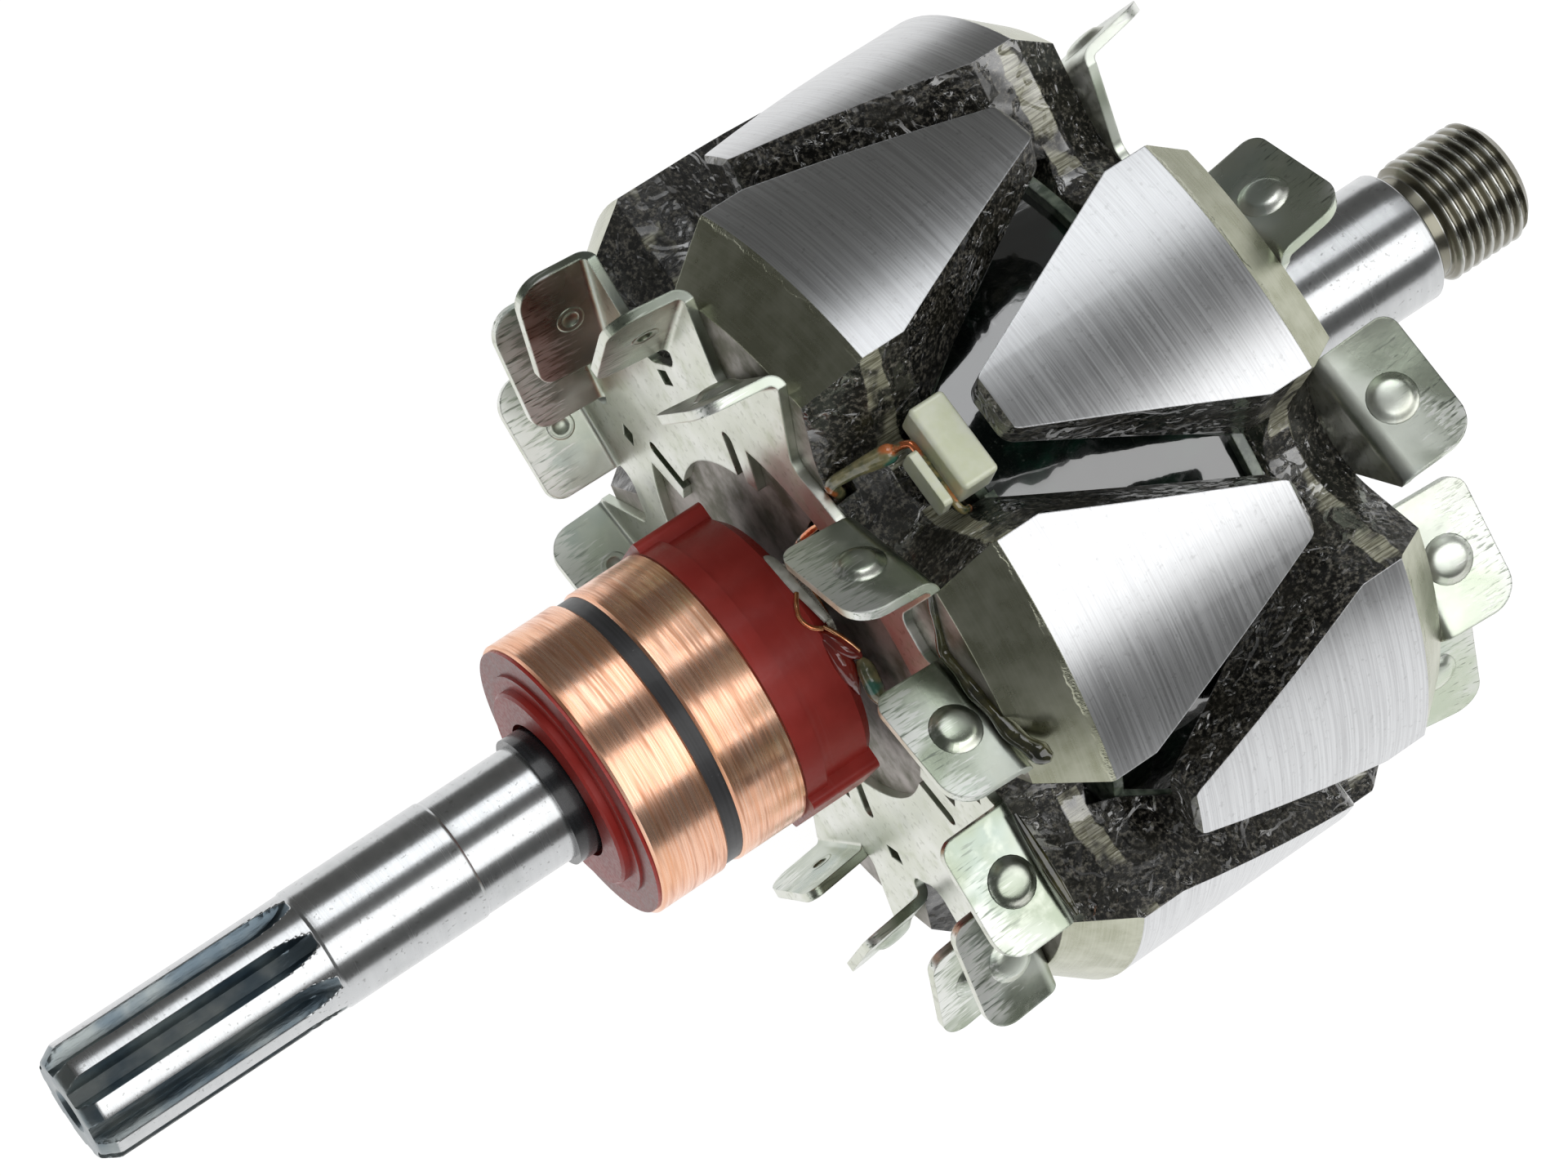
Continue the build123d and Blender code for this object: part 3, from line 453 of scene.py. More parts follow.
def soaked_sleeve():
    """Olive sleeving soaked in varnish, teal in places, with the orange wire showing through."""
    look = Look("lead_sleeving")
    cloud = look.noise(420, 420, detail=3.0)
    teal = look.noise(260, 260, detail=1.0, shift=5.3)
    wire = look.noise(230, 230, detail=1.0, shift=9.9)
    base = look.mix(look.step(cloud, 0.3, 0.7), (0.10, 0.12, 0.06), (0.44, 0.38, 0.19))
    base = look.mix(look.step(teal, 0.58, 0.66), base, (0.06, 0.22, 0.16))
    base = look.mix(look.math("MULTIPLY", look.step(wire, 0.60, 0.66), 0.8), base, (0.72, 0.19, 0.05))
    normal = look.bump(cloud, 0.15, 0.7)
    look.set(Base_Color=base, Roughness=0.2, Normal=normal, Coat_Weight=0.9, Coat_Roughness=0.05,
             Coat_Normal=normal)
    return look.material


SHAFT_STEEL = steel_shaft()
# One zinc in lit and shaded copies: the rear fan's blade colours are darkened as painted shade, and the
# front fan's are lightened as painted reflection.
REAR_ZINC = zinc_fan("rear_zinc_plate", REAR_FACE, -1, (0.34, 0.385, 0.30), (0.66, 0.70, 0.63))
FRONT_ZINC = zinc_fan("front_zinc_plate", FRONT_FACE, 1, (0.56, 0.62, 0.50), (0.86, 0.90, 0.82))
COPPER = copper_ring()
RED = red_moulding()
FORMER = nylon_former()
RESIN = soft_surface("seal_resin", (0.20, 0.010, 0.006), (0.36, 0.030, 0.018), 260, 0.10, 0.3,
                     coat=1.0)
LEAD = varnished_lead()
SLEEVING = soaked_sleeve()
BARE_COPPER = plain_metal("lead_bare_copper", (0.78, 0.30, 0.12), (0.95, 0.55, 0.32), 500,
                          0.16, 0.28, 0.05)
BEAD = soft_surface("varnish_bead", (0.010, 0.012, 0.006), (0.075, 0.070, 0.022), 330, 0.12, 0.25,
                    coat=1.0)
STRIP = soft_surface("soldered_strip", (0.46, 0.46, 0.40), (0.82, 0.82, 0.76), 500, 0.28, 0.06,
                     coat=0.7)
TIN = plain_metal("terminal_tin", (0.60, 0.60, 0.54), (0.84, 0.84, 0.80), 500, 0.20, 0.34, 0.08)
PAPER = soft_surface("insulating_paper", (0.30, 0.26, 0.17), (0.42, 0.37, 0.26), 900, 0.7, 0.05)

LOOKS = {
    "shaft": SHAFT_STEEL,
    "drive_end_collar": plain_metal("collar_steel", (0.45, 0.45, 0.44), (0.60, 0.60, 0.59), 900,
                                    0.24, 0.34, 0.01),
    "rear_pole": steel_pole("rear_pole_steel", REAR_FACE, 1),
    "front_pole": steel_pole("front_pole_steel", FRONT_FORGING, -1),
    "pole_core": plain_metal("core_steel", (0.36, 0.36, 0.35), (0.48, 0.48, 0.47), 700, 0.3, 0.45, 0.02),
    "rear_fan": REAR_ZINC, "front_fan": FRONT_ZINC,
    "slip_ring_outer": COPPER, "slip_ring_inner": COPPER,
    "ring_spacer": black_plastic("spacer_black", (0.022, 0.022, 0.024), (0.05, 0.05, 0.055),
                                 0.32, 0.5, 0.1),
    "shaft_sleeve": black_plastic("sleeve_black", (0.008, 0.010, 0.012), (0.022, 0.026, 0.030),
                                  0.20, 0.34, 0.3),
    "slip_ring_moulding": RED, "bobbin": FORMER, "coil_wrap": varnished_wrap(),
    "field_winding": plain_metal("winding_copper", (0.42, 0.16, 0.06), (0.6, 0.27, 0.12), 1200,
                                 0.2, 0.35, 0.05),
    "rear_insulator": PAPER, "front_insulator": PAPER,
    "lead_start": LEAD, "lead_end": LEAD,
    "lead_start_sleeve": SLEEVING, "lead_end_sleeve": SLEEVING,
    "start_terminal": TIN, "end_terminal": TIN,
    "start_seal": RESIN, "end_seal": RESIN,
}
for name, material in LOOKS.items():
    slots = nodes[name].data.materials
    slots.clear()
    slots.append(material)


# Pieces built here
def add_mesh(name, points, faces, material, smooth_angle=30.0):
    mesh = bpy.data.meshes.new(name)
    mesh.from_pydata([tuple(p) for p in points], [], faces)
    mesh.validate()
    mesh.shade_smooth()
    mesh.set_sharp_from_angle(angle=math.radians(smooth_angle))
    mesh.materials.append(material)
    piece = add_object(name, mesh)
    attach(piece, "root")
    return piece


# The shaft with its real thread, spline grooves and centre holes, as rows of points round its axis
GROOVES = 8
GROOVE_FIRST = 8.0
GROOVE_DEPTH = 1.8
GROOVE_TOP = 3.7
GROOVE_BOTTOM = 1.6
CUTTER_R = 10.6
THREAD_DEPTH = 0.92
THREAD_CREST = 0.19
CENTRE_MOUTH_R = 2.8
CENTRE_PILOT_R = 1.25
CENTRE_DRILL_DEPTH = 3.0


def groove_radius(x, offset):
    """Radius of a spline groove's floor or wall at an angle from the groove's middle."""
    run_out = math.sqrt(CUTTER_R ** 2 - (CUTTER_R - GROOVE_DEPTH) ** 2)
    start = JOURNAL_FAR - run_out
    floor = REAR_R - GROOVE_DEPTH
    if x > start:
        past = min(x - start, CUTTER_R)
        floor += CUTTER_R - math.sqrt(CUTTER_R ** 2 - past ** 2)
    slope = (GROOVE_TOP - GROOVE_BOTTOM) / 2 / GROOVE_DEPTH
    a = math.radians(abs(offset))
    flat = floor / math.cos(a)
    if flat * math.sin(a) <= GROOVE_BOTTOM / 2:
        return flat
    return (GROOVE_BOTTOM / 2 - slope * floor) / (math.sin(a) - slope * math.cos(a))


def softer(a, b, width):
    """The smaller of two radii, rounded where they cross."""
    h = max(width - abs(a - b), 0.0) / width
    return min(a, b) - h * h * width / 4


def thread_radius(x, angle):
    """Radius of the right-hand thread: flat crest, 60 degree flanks and rounded root."""
    phase = ((x - THREAD_START) / THREAD_PITCH + angle / 360.0) % 1.0
    off = abs(phase - 0.5) * THREAD_PITCH
    depth = (off - THREAD_CREST / 2) * math.sqrt(3)
    depth = min(max(depth, 0.0), THREAD_DEPTH)
    rounded = 1.0 - max(0.0, depth / THREAD_DEPTH - 0.85) * 0.6
    return THREAD_R - depth * rounded


def shaft_profile():
    """Rows along the shaft as (x, radius, kind); kind g has the grooves and t the thread."""
    mouth, pilot = CENTRE_MOUTH_R, CENTRE_PILOT_R
    cone = (mouth - pilot) * math.sqrt(3)
    bottom = cone + CENTRE_DRILL_DEPTH
    rows = [(REAR_END + bottom, 0.02, ""), (REAR_END + bottom, pilot, ""),
            (REAR_END + cone, pilot, ""), (REAR_END + 0.15, mouth - 0.1, ""),
            (REAR_END, mouth, ""), (REAR_END, 4.4, "g"), (REAR_END, REAR_R - 1.35, "g"),
            (REAR_END + 0.12, REAR_R - 1.15, "g")]
    for x in np.arange(0.5, 1.9, 0.35):
        rows.append((REAR_END + x, REAR_R - 1.2 * (1 - x / 2.0), "g"))
    rows += [(REAR_END + 1.9, REAR_R - 0.07, "g"), (REAR_END + 2.2, REAR_R, "g")]
    for x in np.arange(REAR_END + 3.0, JOURNAL_FAR - 7.0, 1.5):
        rows.append((x, REAR_R, "g"))
    for x in np.arange(JOURNAL_FAR - 6.6, JOURNAL_FAR - 0.15, 0.22):
        rows.append((x, REAR_R, "g"))
    step = JOURNAL_CHAMFER
    rows += [(JOURNAL_FAR - 0.10, REAR_R, ""), (JOURNAL_FAR, REAR_R - 0.02, ""),
             (JOURNAL_FAR + step - 0.05, JOURNAL_R - 0.02, ""), (JOURNAL_FAR + step + 0.05, JOURNAL_R, "")]
    rows += [(x, JOURNAL_R, "") for x in np.arange(JOURNAL_FAR + 1.5, JOURNAL_NEAR - 1.0, 2.0)]
    rows += [(JOURNAL_NEAR - step - 0.05, JOURNAL_R, ""),
             (JOURNAL_NEAR - step + 0.05, JOURNAL_R - 0.02, ""),
             (JOURNAL_NEAR, REAR_R - 0.02, ""), (JOURNAL_NEAR + 0.1, REAR_R, "")]
    rows += [(x, REAR_R, "") for x in np.arange(JOURNAL_NEAR + 1.5, REAR_FACE - 1.0, 3.0)]
    rows += [(REAR_FACE, REAR_R, ""), (REAR_FACE, CORE_SEAT_R, "")]
    rows += [(x, CORE_SEAT_R, "") for x in np.arange(REAR_FACE + 4.0, FRONT_FACE - 1.0, 4.0)]
    rows += [(FRONT_FACE, CORE_SEAT_R, ""), (FRONT_FACE, COLLAR_LAND_R, ""),
             (COLLAR_FACE, COLLAR_LAND_R, ""), (COLLAR_FACE, SEAT_R, "")]
    rows += [(x, SEAT_R, "") for x in np.arange(COLLAR_FACE + 2.0, SEAT_END - 1.0, 2.0)]
    rows += [(SEAT_END - 0.55, SEAT_R, ""), (SEAT_END - 0.45, SEAT_R - 0.03, ""),
             (SEAT_END - 0.05, SEAT_R - 0.43, ""), (SEAT_END, SEAT_R - 0.5, ""),
             (SEAT_END, UNDERCUT_R + 0.3, ""), (SEAT_END + 0.1, UNDERCUT_R + 0.08, ""),
             (SEAT_END + 0.35, UNDERCUT_R, ""), (THREAD_START - 0.05, UNDERCUT_R, "")]
    for x in np.arange(0.0, THREAD_END - THREAD_START - 0.02, THREAD_PITCH / 18):
        rows.append((THREAD_START + x, THREAD_R, "t"))
    rows += [(THREAD_END - 0.01, THREAD_R - 1.3, ""), (THREAD_END, THREAD_R - 1.4, ""),
             (THREAD_END, mouth, ""), (THREAD_END - 0.15, mouth - 0.1, ""),
             (THREAD_END - cone, pilot, ""), (THREAD_END - bottom, pilot, ""),
             (THREAD_END - bottom, 0.02, "")]
    return rows


def make_shaft():
    pitch = 360.0 / GROOVES
    half = [0.0, 2.5, 5.0, 7.2, 8.0, 8.6, 10.0, 11.5, 13.0, 14.0, 14.5, 15.0, 15.8, 17.5, 20.0]
    offsets = [-o for o in reversed(half[1:])] + half + [pitch / 2]
    angles = [GROOVE_FIRST + pitch * i + o for i in range(GROOVES) for o in offsets]
    points, faces = [], []
    rows = shaft_profile()
    for x, radius, kind in rows:
        for i, angle in enumerate(angles):
            r = radius
            if kind == "g":
                r = softer(radius, groove_radius(x, offsets[i % len(offsets)]), 0.06)
            if kind == "t":
                lead = UNDERCUT_R + (x - THREAD_START) * 1.65
                tail = THREAD_R - 1.3 + (THREAD_END - x)
                r = min(thread_radius(x, angle), lead, tail)
            points.append(radial(x, r, angle))
    n = len(angles)
    for j in range(len(rows) - 1):
        for i in range(n):
            k = (i + 1) % n
            faces.append((j * n + i, (j + 1) * n + i, (j + 1) * n + k, j * n + k))
    faces.append(tuple(range(n)))
    faces.append(tuple((len(rows) - 1) * n + i for i in reversed(range(n))))
    return add_mesh("shaft_turned", points, faces, SHAFT_STEEL, 34.0)


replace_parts(make_shaft(), "shaft")


# Round dimples pressed into the fan blades near their folds, closed on both sides of the sheet
SHEET = 1.2
BEND_R = 2.0
DIMPLE_RISE = 3.4
DIMPLE_SIDES = 24
# Each fold's inner radius, outer radius and skew between them, and how far its blade leans
REAR_FOLD = (39.2, 49.9, 14.5)
REAR_LEAN = 6.0
FRONT_FOLD = (40.6, 49.1, 18.4)
FRONT_LEAN = 10.6
# Where each blade's fold ends, in degrees round the shaft
LOW_BLADE = 301.1
NEAR_BLADE = 330.2
REAR_BLADES = (79.8, 99.5, 119.8, 149.1, 179.0, 209.1, 227.8, 255.5, 276.7, LOW_BLADE, NEAR_BLADE,
               356.8, 29.6, 50.2)
FRONT_BLADES = (6.8, 48.0, 118.0, 154.0, 189.0, 230.0, 272.0, 304.6, 333.1)
# Radius and height over the sheet's outer side, from the dome's top to the hollow on the inner side
DIMPLE_ROWS = ((0.01, 0.90), (0.5, 0.89), (1.0, 0.855), (1.4, 0.80), (1.7, 0.74), (1.95, 0.67),
               (2.2, 0.53), (2.45, 0.33), (2.7, 0.14), (2.9, 0.04), (3.05, -0.02), (1.9, -0.6),
               (1.75, -1.21), (1.5, -1.25), (1.2, -1.15), (0.8, -0.95), (0.4, -0.86), (0.01, -0.84))


def blade_fold(fold, angle):
    """A fold's inner and outer end and the direction across it, away from the shaft."""
    inner, outer, skew = fold
    start = radial(0, inner, angle + skew)
    end = radial(0, outer, angle)
    away = (end - start).cross(Vector((1, 0, 0))).normalized()
    if away.dot(start + end) < 0:
        away = -away
    return start, end, away


def make_dimples(name, face_x, outwards, angles, fold, lean, material):
    """Dimples on every blade of a fan; the leaning sheet is followed in the plane across its fold."""
    a = math.radians(lean)
    back = BEND_R * math.tan(math.radians(90 - lean) / 2)
    rise = (math.sin(a), math.cos(a))
    foot = (-back + math.cos(a) * BEND_R, BEND_R - math.sin(a) * BEND_R)
    along = DIMPLE_RISE + SHEET - foot[1]
    sides = DIMPLE_SIDES
    points, faces = [], []
    for angle in angles:
        start, end, away = blade_fold(fold, angle)
        run = (end - start).normalized()
        out = Vector((outwards, 0, 0))
        middle = (start + end) / 2 + Vector((face_x * MM, 0, 0))
        middle += (away * (foot[0] + rise[0] * along) + out * (foot[1] + rise[1] * along)) * MM
        up_sheet = away * rise[0] + out * rise[1]
        outer_side = away * math.cos(a) - out * math.sin(a)
        first = len(points)
        for spread, height in DIMPLE_ROWS:
            for i in range(sides):
                c = 2 * math.pi * i / sides
                points.append(middle + (run * spread * math.cos(c) + up_sheet * spread * math.sin(c)
                                        + outer_side * height) * MM)
        for j in range(len(DIMPLE_ROWS) - 1):
            for i in range(sides):
                k = (i + 1) % sides
                a0, b0 = first + j * sides, first + (j + 1) * sides
                faces.append((a0 + i, b0 + i, b0 + k, a0 + k))
    return add_mesh(name, points, faces, material, 80.0)


make_dimples("rear_fan_dimples", REAR_FACE, -1, REAR_BLADES, REAR_FOLD, REAR_LEAN, REAR_ZINC)
make_dimples("front_fan_dimples", FRONT_FACE, 1, FRONT_BLADES, FRONT_FOLD, FRONT_LEAN, FRONT_ZINC)


# The first lead with its sleeve, and the soldered end on the moulding, in the post's own frame
def at_post(x, y, z):
    """A point in metres from mm past the rear face, mm beside the post and mm from the axis."""
    a = math.radians(POST_ANGLE)
    return Vector((REAR_FACE + x, y * math.cos(a) + z * math.sin(a),
                   z * math.cos(a) - y * math.sin(a))) * MM


def smooth_line(corners, steps=8):
    """Points on an even curve through corners, each a place in metres and a radius in mm."""
    rows = [(*place, radius * MM) for place, radius in corners]
    rows = np.array([rows[0], *rows, rows[-1]])
    line = []
    for i in range(1, len(rows) - 2):
        a, b, c, d = rows[i - 1:i + 3]
        for t in np.linspace(0, 1, steps, endpoint=False):
            line.append(0.5 * (2 * b + (c - a) * t + (2 * a - 5 * b + 4 * c - d) * t ** 2
                               + (3 * b - a - 3 * c + d) * t ** 3))
    line.append(rows[-2])
    return line


def make_tube(name, corners, material, sides=16, flat=1.0):
    """A tube through corners with a radius at each; flat below 1 thins it along its second direction."""
    line = smooth_line(corners)
    places = [Vector(row[:3]) for row in line]
    side = None
    points, faces = [], []
    for i, place in enumerate(places):
        ahead = (places[min(i + 1, len(places) - 1)] - places[max(i - 1, 0)]).normalized()
        outward = Vector((0, place.y, place.z)).normalized()
        if side is None:
            side = ahead.cross(outward).normalized()
        side = (side - ahead * side.dot(ahead)).normalized()
        second = side.cross(ahead)
        for k in range(sides):
            a = 2 * math.pi * k / sides
            points.append(place + (side * math.cos(a) + second * math.sin(a) * flat) * line[i][3])
    for i in range(len(places) - 1):
        for k in range(sides):
            n = (k + 1) % sides
            a, b = i * sides, (i + 1) * sides
            faces.append((a + k, b + k, b + n, a + n))
    faces.append(tuple(reversed(range(sides))))
    faces.append(tuple((len(places) - 1) * sides + k for k in range(sides)))
    return add_mesh(name, points, faces, material, 50.0)


lead_wire = make_tube("lead_start_wire", [
    (at_post(-1.74, -2.6, 13.5), 0.45), (at_post(-1.74, 4.4, 18.5), 0.45), (at_post(1.6, 4.4, 26.5), 0.45),
    (at_post(1.65, 4.4, 33.4), 0.45), (at_post(0.5, 5.2, 36.6), 0.45), (at_post(2.6, 4.7, 39.3), 0.45),
    (at_post(5.0, 3.7, 42.3), 0.45), (at_post(7.3, 3.0, 44.7), 0.45), (at_post(7.75, 1.2, 45.05), 0.45),
    (at_post(7.75, -5.6, 45.05), 0.45), (at_post(9.2, -6.2, 43.2), 0.45)], LEAD)
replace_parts(lead_wire, "lead_start")
lead_sleeve = make_tube("lead_start_tube", [
    (at_post(1.5, 4.4, 27.5), 0.80), (at_post(1.6, 4.4, 33.4), 0.80), (at_post(0.5, 5.2, 36.6), 0.75),
    (at_post(2.6, 4.7, 39.3), 0.85), (at_post(4.3, 4.0, 41.5), 1.10), (at_post(5.7, 3.45, 43.1), 1.15),
    (at_post(6.2, 3.3, 43.6), 0.75)], SLEEVING)
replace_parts(lead_sleeve, "lead_start_sleeve")

make_tube("start_strip", [
    (at_post(-3.95, 6.6, 15.2), 0.25), (at_post(-3.9, 5.8, 15.6), 0.75), (at_post(-3.8, 3.4, 16.3), 0.85),
    (at_post(-3.5, 1.0, 16.7), 0.60), (at_post(-3.1, -1.4, 16.6), 0.50), (at_post(-2.7, -3.4, 16.2), 0.45)],
    STRIP, sides=12, flat=0.45)
make_tube("start_loop", [
    (at_post(-3.9, 0.9, 16.8), 0.3), (at_post(-4.9, -0.4, 17.2), 0.3), (at_post(-5.4, -1.8, 17.1), 0.3),
    (at_post(-4.9, -3.2, 16.9), 0.3), (at_post(-3.8, -4.0, 16.6), 0.3)], LEAD, sides=10)
make_tube("start_bare_end", [
    (at_post(-3.6, -3.8, 16.5), 0.25), (at_post(-3.0, -4.9, 16.5), 0.32), (at_post(-2.3, -6.6, 16.4), 0.32),
    (at_post(-1.7, -8.3, 16.1), 0.25)], BARE_COPPER, sides=10)
seal = make_tube("start_seal_resin", [
    (at_post(-4.1, -3.9, 15.9), 0.25), (at_post(-3.6, -5.2, 15.7), 0.95), (at_post(-2.9, -6.7, 15.6), 1.15),
    (at_post(-2.2, -8.0, 15.6), 0.85), (at_post(-1.8, -8.9, 15.5), 0.25)], RESIN, sides=20)
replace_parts(seal, "start_seal")
make_tube("start_resin_edge", [
    (at_post(-4.6, -4.6, 16.0), 0.2), (at_post(-4.0, -6.0, 15.5), 0.9), (at_post(-3.7, -7.8, 14.7), 1.25),
    (at_post(-3.5, -9.8, 13.4), 1.05), (at_post(-3.4, -11.6, 11.9), 0.2)], RESIN, sides=20)
make_tube("start_sleeve_end", [
    (at_post(-2.0, -8.9, 15.2), 0.50), (at_post(-2.0, -9.9, 15.0), 1.0), (at_post(-2.1, -11.4, 14.3), 1.1),
    (at_post(-2.1, -12.9, 13.1), 1.0), (at_post(-2.1, -13.9, 12.0), 0.35)],
    SLEEVING, sides=20)


# Beads of varnish that ran along the folds of the near blades, on the pole side
def fold_point(angle, share, away_mm, x):
    """A point beside a rear blade's fold, a share of the way from its inner to its outer end."""
    start, end, away = blade_fold(REAR_FOLD, angle)
    return start.lerp(end, share) + away * away_mm * MM + Vector(((REAR_FACE + x) * MM, 0, 0))


make_tube("bead_near_blade", [
    (radial(REAR_FACE - 0.1, 46.6, -4.0), 0.35), (radial(REAR_FACE - 0.2, 44.4, -6.5), 0.55),
    (radial(REAR_FACE - 0.2, 41.8, -10.5), 0.50), (fold_point(NEAR_BLADE, 0.0, 1.2, -0.3), 0.75),
    (fold_point(NEAR_BLADE, 0.18, 1.0, -0.4), 0.65), (fold_point(NEAR_BLADE, 0.36, 1.0, -0.4), 1.0),
    (fold_point(NEAR_BLADE, 0.55, 0.9, -0.3), 0.75), (fold_point(NEAR_BLADE, 0.74, 0.9, -0.2), 1.1),
    (fold_point(NEAR_BLADE, 0.88, 1.0, 0.2), 0.95), (fold_point(NEAR_BLADE, 1.0, 1.1, 0.8), 1.25),
    (fold_point(NEAR_BLADE, 1.07, 1.2, 1.4), 0.5)], BEAD, sides=18)
make_tube("bead_low_blade", [
    (fold_point(LOW_BLADE, 0.10, 0.8, -0.5), 0.3), (fold_point(LOW_BLADE, 0.3, 0.8, -0.5), 0.55),
    (fold_point(LOW_BLADE, 0.6, 0.8, -0.4), 0.75), (fold_point(LOW_BLADE, 0.8, 0.8, -0.3), 0.6),
    (fold_point(LOW_BLADE, 0.95, 0.8, -0.2), 0.3)], BEAD, sides=16)


# Camera at the photograph's place: rolled, and looking down on the rotor from its rear end
YAW = math.radians(16.191)
ROLL = math.radians(33.2)
CAMERA_PLACE = Vector((-239.6, 5.04, 561.0)) * MM
right = Vector((math.cos(YAW), 0, math.sin(YAW)))
up = Vector((0, 1, 0))
camera_x = math.cos(ROLL) * right - math.sin(ROLL) * up
camera_y = math.sin(ROLL) * right + math.cos(ROLL) * up
camera_z = camera_x.cross(camera_y)
camera = add_object("camera", bpy.data.cameras.new("camera"))
turn = Matrix((camera_x, camera_y, camera_z)).transposed()
camera.matrix_world = Matrix.Translation(CAMERA_PLACE) @ turn.to_4x4()
camera.data.lens = 117.95
camera.data.sensor_width = 36.0
camera.data.clip_start = 0.05
camera.data.clip_end = 20.0
bpy.context.scene.camera = camera


# Round floor that rises to a low pale wall all round, far from the rotor; sizes in metres
FLOOR_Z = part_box("rear_pole")[0].z - 0.0002
FLOOR_FLAT_R = 2.0
FLOOR_CURVE_R = 0.6
FLOOR_SIDES = 96
profile = [(0.0, 0.0), (0.4, 0.0), (0.9, 0.0), (1.5, 0.0), (FLOOR_FLAT_R, 0.0)]
profile += [(FLOOR_FLAT_R + FLOOR_CURVE_R * math.sin(math.radians(t)),
             FLOOR_CURVE_R - FLOOR_CURVE_R * math.cos(math.radians(t))) for t in range(6, 79, 6)]
floor_points = [Vector((0.0, 0.0, FLOOR_Z))]
for r, h in profile[1:]:
    for i in range(FLOOR_SIDES):
        a = 2 * math.pi * i / FLOOR_SIDES
        floor_points.append(Vector((r * math.cos(a), r * math.sin(a), FLOOR_Z + h)))
floor_faces = [(0, 1 + i, 1 + (i + 1) % FLOOR_SIDES) for i in range(FLOOR_SIDES)]
for j in range(len(profile) - 2):
    for i in range(FLOOR_SIDES):
        k = (i + 1) % FLOOR_SIDES
        a, b = 1 + j * FLOOR_SIDES, 1 + (j + 1) * FLOOR_SIDES
        floor_faces.append((a + i, b + i, b + k, a + k))
floor_mesh = bpy.data.meshes.new("floor")
floor_mesh.from_pydata([tuple(p) for p in floor_points], [], floor_faces)
floor_mesh.shade_smooth()
floor = add_object("floor", floor_mesh)

# The camera and mirror images see the floor as white, and it lights the rotor as a plain grey
paint = empty_material("floor_white")
tree = paint.node_tree
output = tree.nodes.new("ShaderNodeOutputMaterial")
plain = tree.nodes.new("ShaderNodeBsdfDiffuse")
plain.inputs["Color"].default_value = (0.55, 0.55, 0.55, 1)
shadowed = tree.nodes.new("ShaderNodeBsdfDiffuse")
shadowed.inputs["Color"].default_value = (0.14, 0.14, 0.14, 1)
glow = tree.nodes.new("ShaderNodeEmission")
glow.inputs["Color"].default_value = (1, 1, 1, 1)
glow.inputs["Strength"].default_value = 0.97
white = tree.nodes.new("ShaderNodeAddShader")
choose = tree.nodes.new("ShaderNodeMixShader")
path = tree.nodes.new("ShaderNodeLightPath")
camera_or_glossy = tree.nodes.new("ShaderNodeMath")
camera_or_glossy.operation = "MAXIMUM"
seen = tree.nodes.new("ShaderNodeMath")
seen.operation = "MAXIMUM"
tree.links.new(path.outputs["Is Camera Ray"], camera_or_glossy.inputs[0])
tree.links.new(path.outputs["Is Glossy Ray"], camera_or_glossy.inputs[1])
tree.links.new(camera_or_glossy.outputs[0], seen.inputs[0])
tree.links.new(path.outputs["Is Transmission Ray"], seen.inputs[1])
tree.links.new(shadowed.outputs[0], white.inputs[0])
tree.links.new(glow.outputs[0], white.inputs[1])
tree.links.new(seen.outputs[0], choose.inputs[0])
tree.links.new(plain.outputs[0], choose.inputs[1])
tree.links.new(white.outputs[0], choose.inputs[2])
tree.links.new(choose.outputs[0], output.inputs[0])
floor_mesh.materials.append(paint)


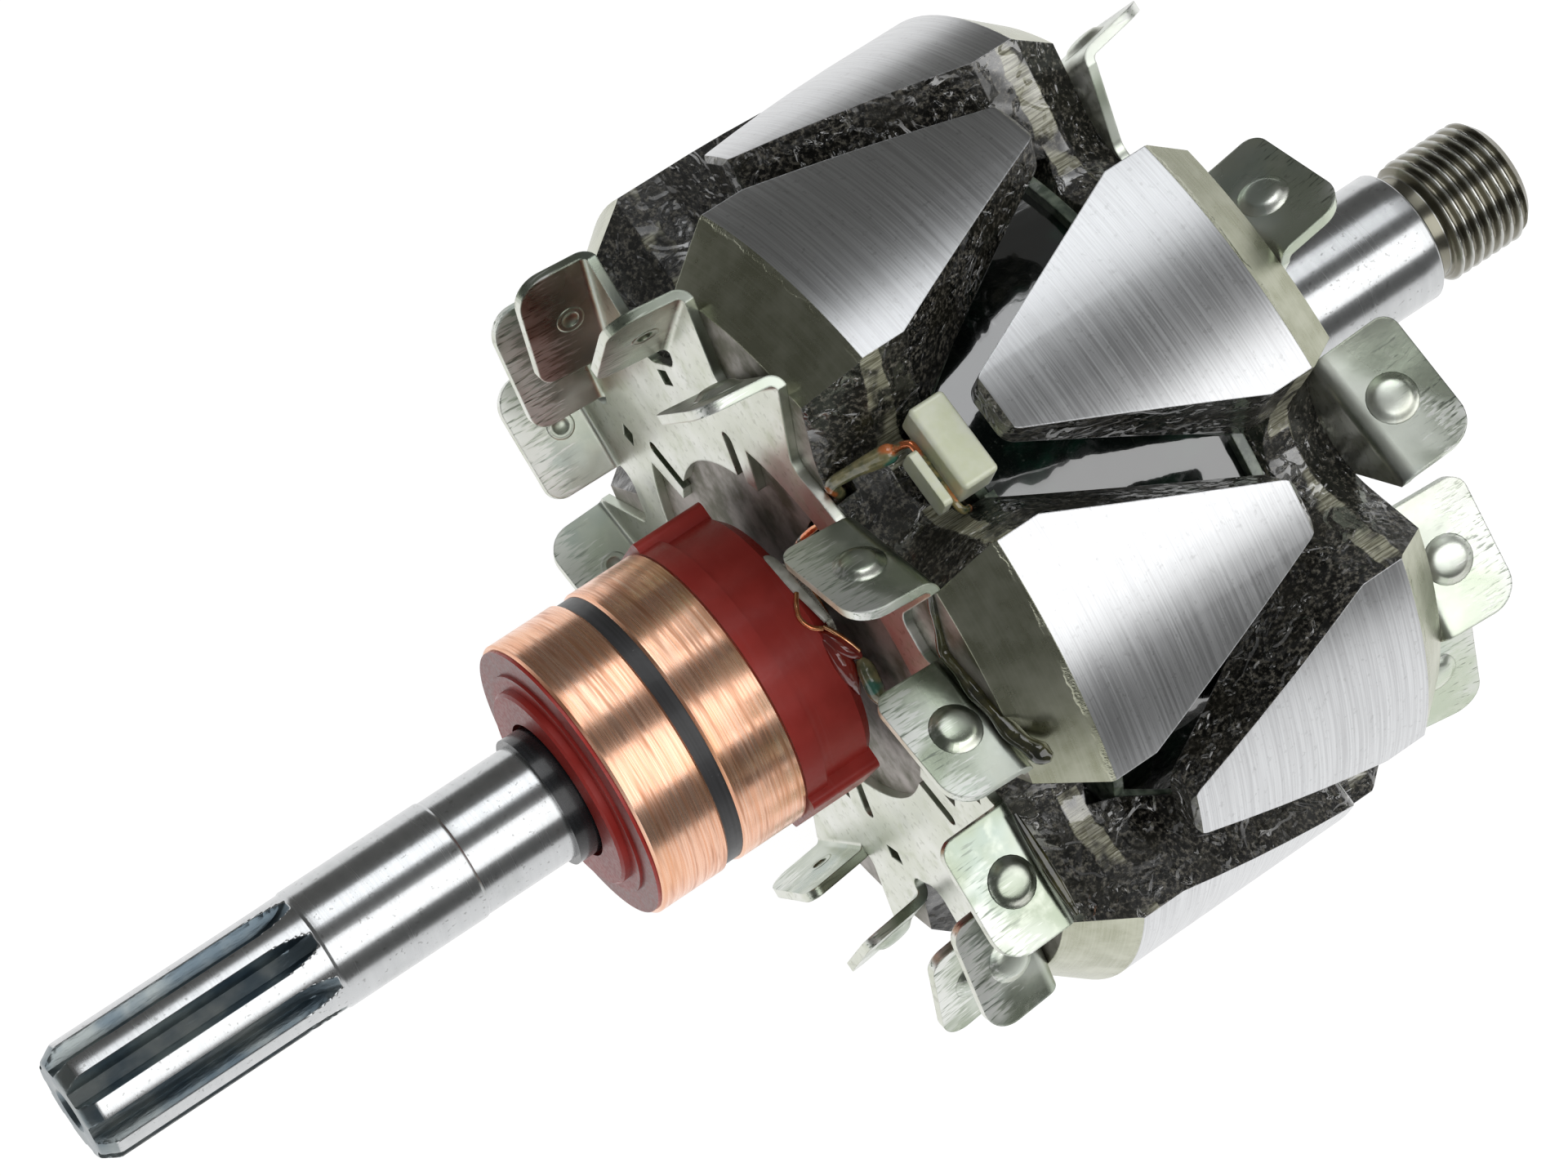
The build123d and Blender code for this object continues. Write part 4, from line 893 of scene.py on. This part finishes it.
# A dark card beside the rotor, leaning away from it and seen only by reflections; places in metres
CARD_ENDS = (-0.9, 0.7)
CARD_LOW = (0.130, -0.050)
CARD_HIGH = (0.300, 0.127)
card_mesh = bpy.data.meshes.new("dark_card")
card_mesh.from_pydata([(CARD_ENDS[0], *CARD_LOW), (CARD_ENDS[1], *CARD_LOW),
                       (CARD_ENDS[1], *CARD_HIGH), (CARD_ENDS[0], *CARD_HIGH)], [], [(0, 1, 2, 3)])
card = add_object("dark_card", card_mesh)
card.visible_camera = False
card.visible_diffuse = False
card.visible_transmission = False
card.visible_shadow = False
card_paint = empty_material("card_dark")
card_tree = card_paint.node_tree
card_glow = card_tree.nodes.new("ShaderNodeEmission")
card_glow.inputs["Color"].default_value = (1.0, 1.0, 0.96, 1)
card_glow.inputs["Strength"].default_value = 0.11
card_output = card_tree.nodes.new("ShaderNodeOutputMaterial")
card_tree.links.new(card_glow.outputs[0], card_output.inputs[0])
card_mesh.materials.append(card_paint)


# Every lamp stands this many degrees towards the drive end
LAMP_TILT = 12.0
PLAIN_WHITE = (1, 1, 1)
COOL_WHITE = (0.97, 0.985, 1.0)


def soft_box(name, angle, distance, width, length, brightness, colour, centre_x):
    """A soft box along the shaft, at an angle round it from +Z towards +Y; sizes in metres."""
    lamp = bpy.data.lights.new(name, "AREA")
    lamp.shape = "RECTANGLE"
    lamp.size = length
    lamp.size_y = width
    lamp.color = colour
    lamp.energy = brightness * math.pi * width * length
    box = add_object(name, lamp)
    a, t = math.radians(angle), math.radians(LAMP_TILT)
    back = Vector((math.sin(t), math.cos(t) * math.sin(a), math.cos(t) * math.cos(a)))
    side = Vector((math.cos(t), -math.sin(t) * math.sin(a), -math.sin(t) * math.cos(a)))
    across = back.cross(side)
    turn = Matrix((side, across, back)).transposed()
    box.matrix_world = Matrix.Translation(Vector((centre_x, 0, 0)) + back * distance) @ turn.to_4x4()
    box.visible_camera = False


soft_box("key_light", angle=-20.5, distance=0.95, width=0.70, length=1.5, brightness=1.85,
         colour=PLAIN_WHITE, centre_x=-0.06)
soft_box("second_light", angle=43.0, distance=1.0, width=0.52, length=0.50, brightness=2.0,
         colour=COOL_WHITE, centre_x=-0.093)
soft_box("second_light_front", angle=43.0, distance=1.0, width=0.52, length=0.50, brightness=0.65,
         colour=COOL_WHITE, centre_x=0.397)

world = bpy.data.worlds.new("studio")
bpy.context.scene.world = world
world.use_nodes = True
background = world.node_tree.nodes["Background"]
background.inputs["Color"].default_value = (0.97, 0.98, 0.96, 1)
background.inputs["Strength"].default_value = 0.115

bpy.context.scene.view_settings.view_transform = "Standard"
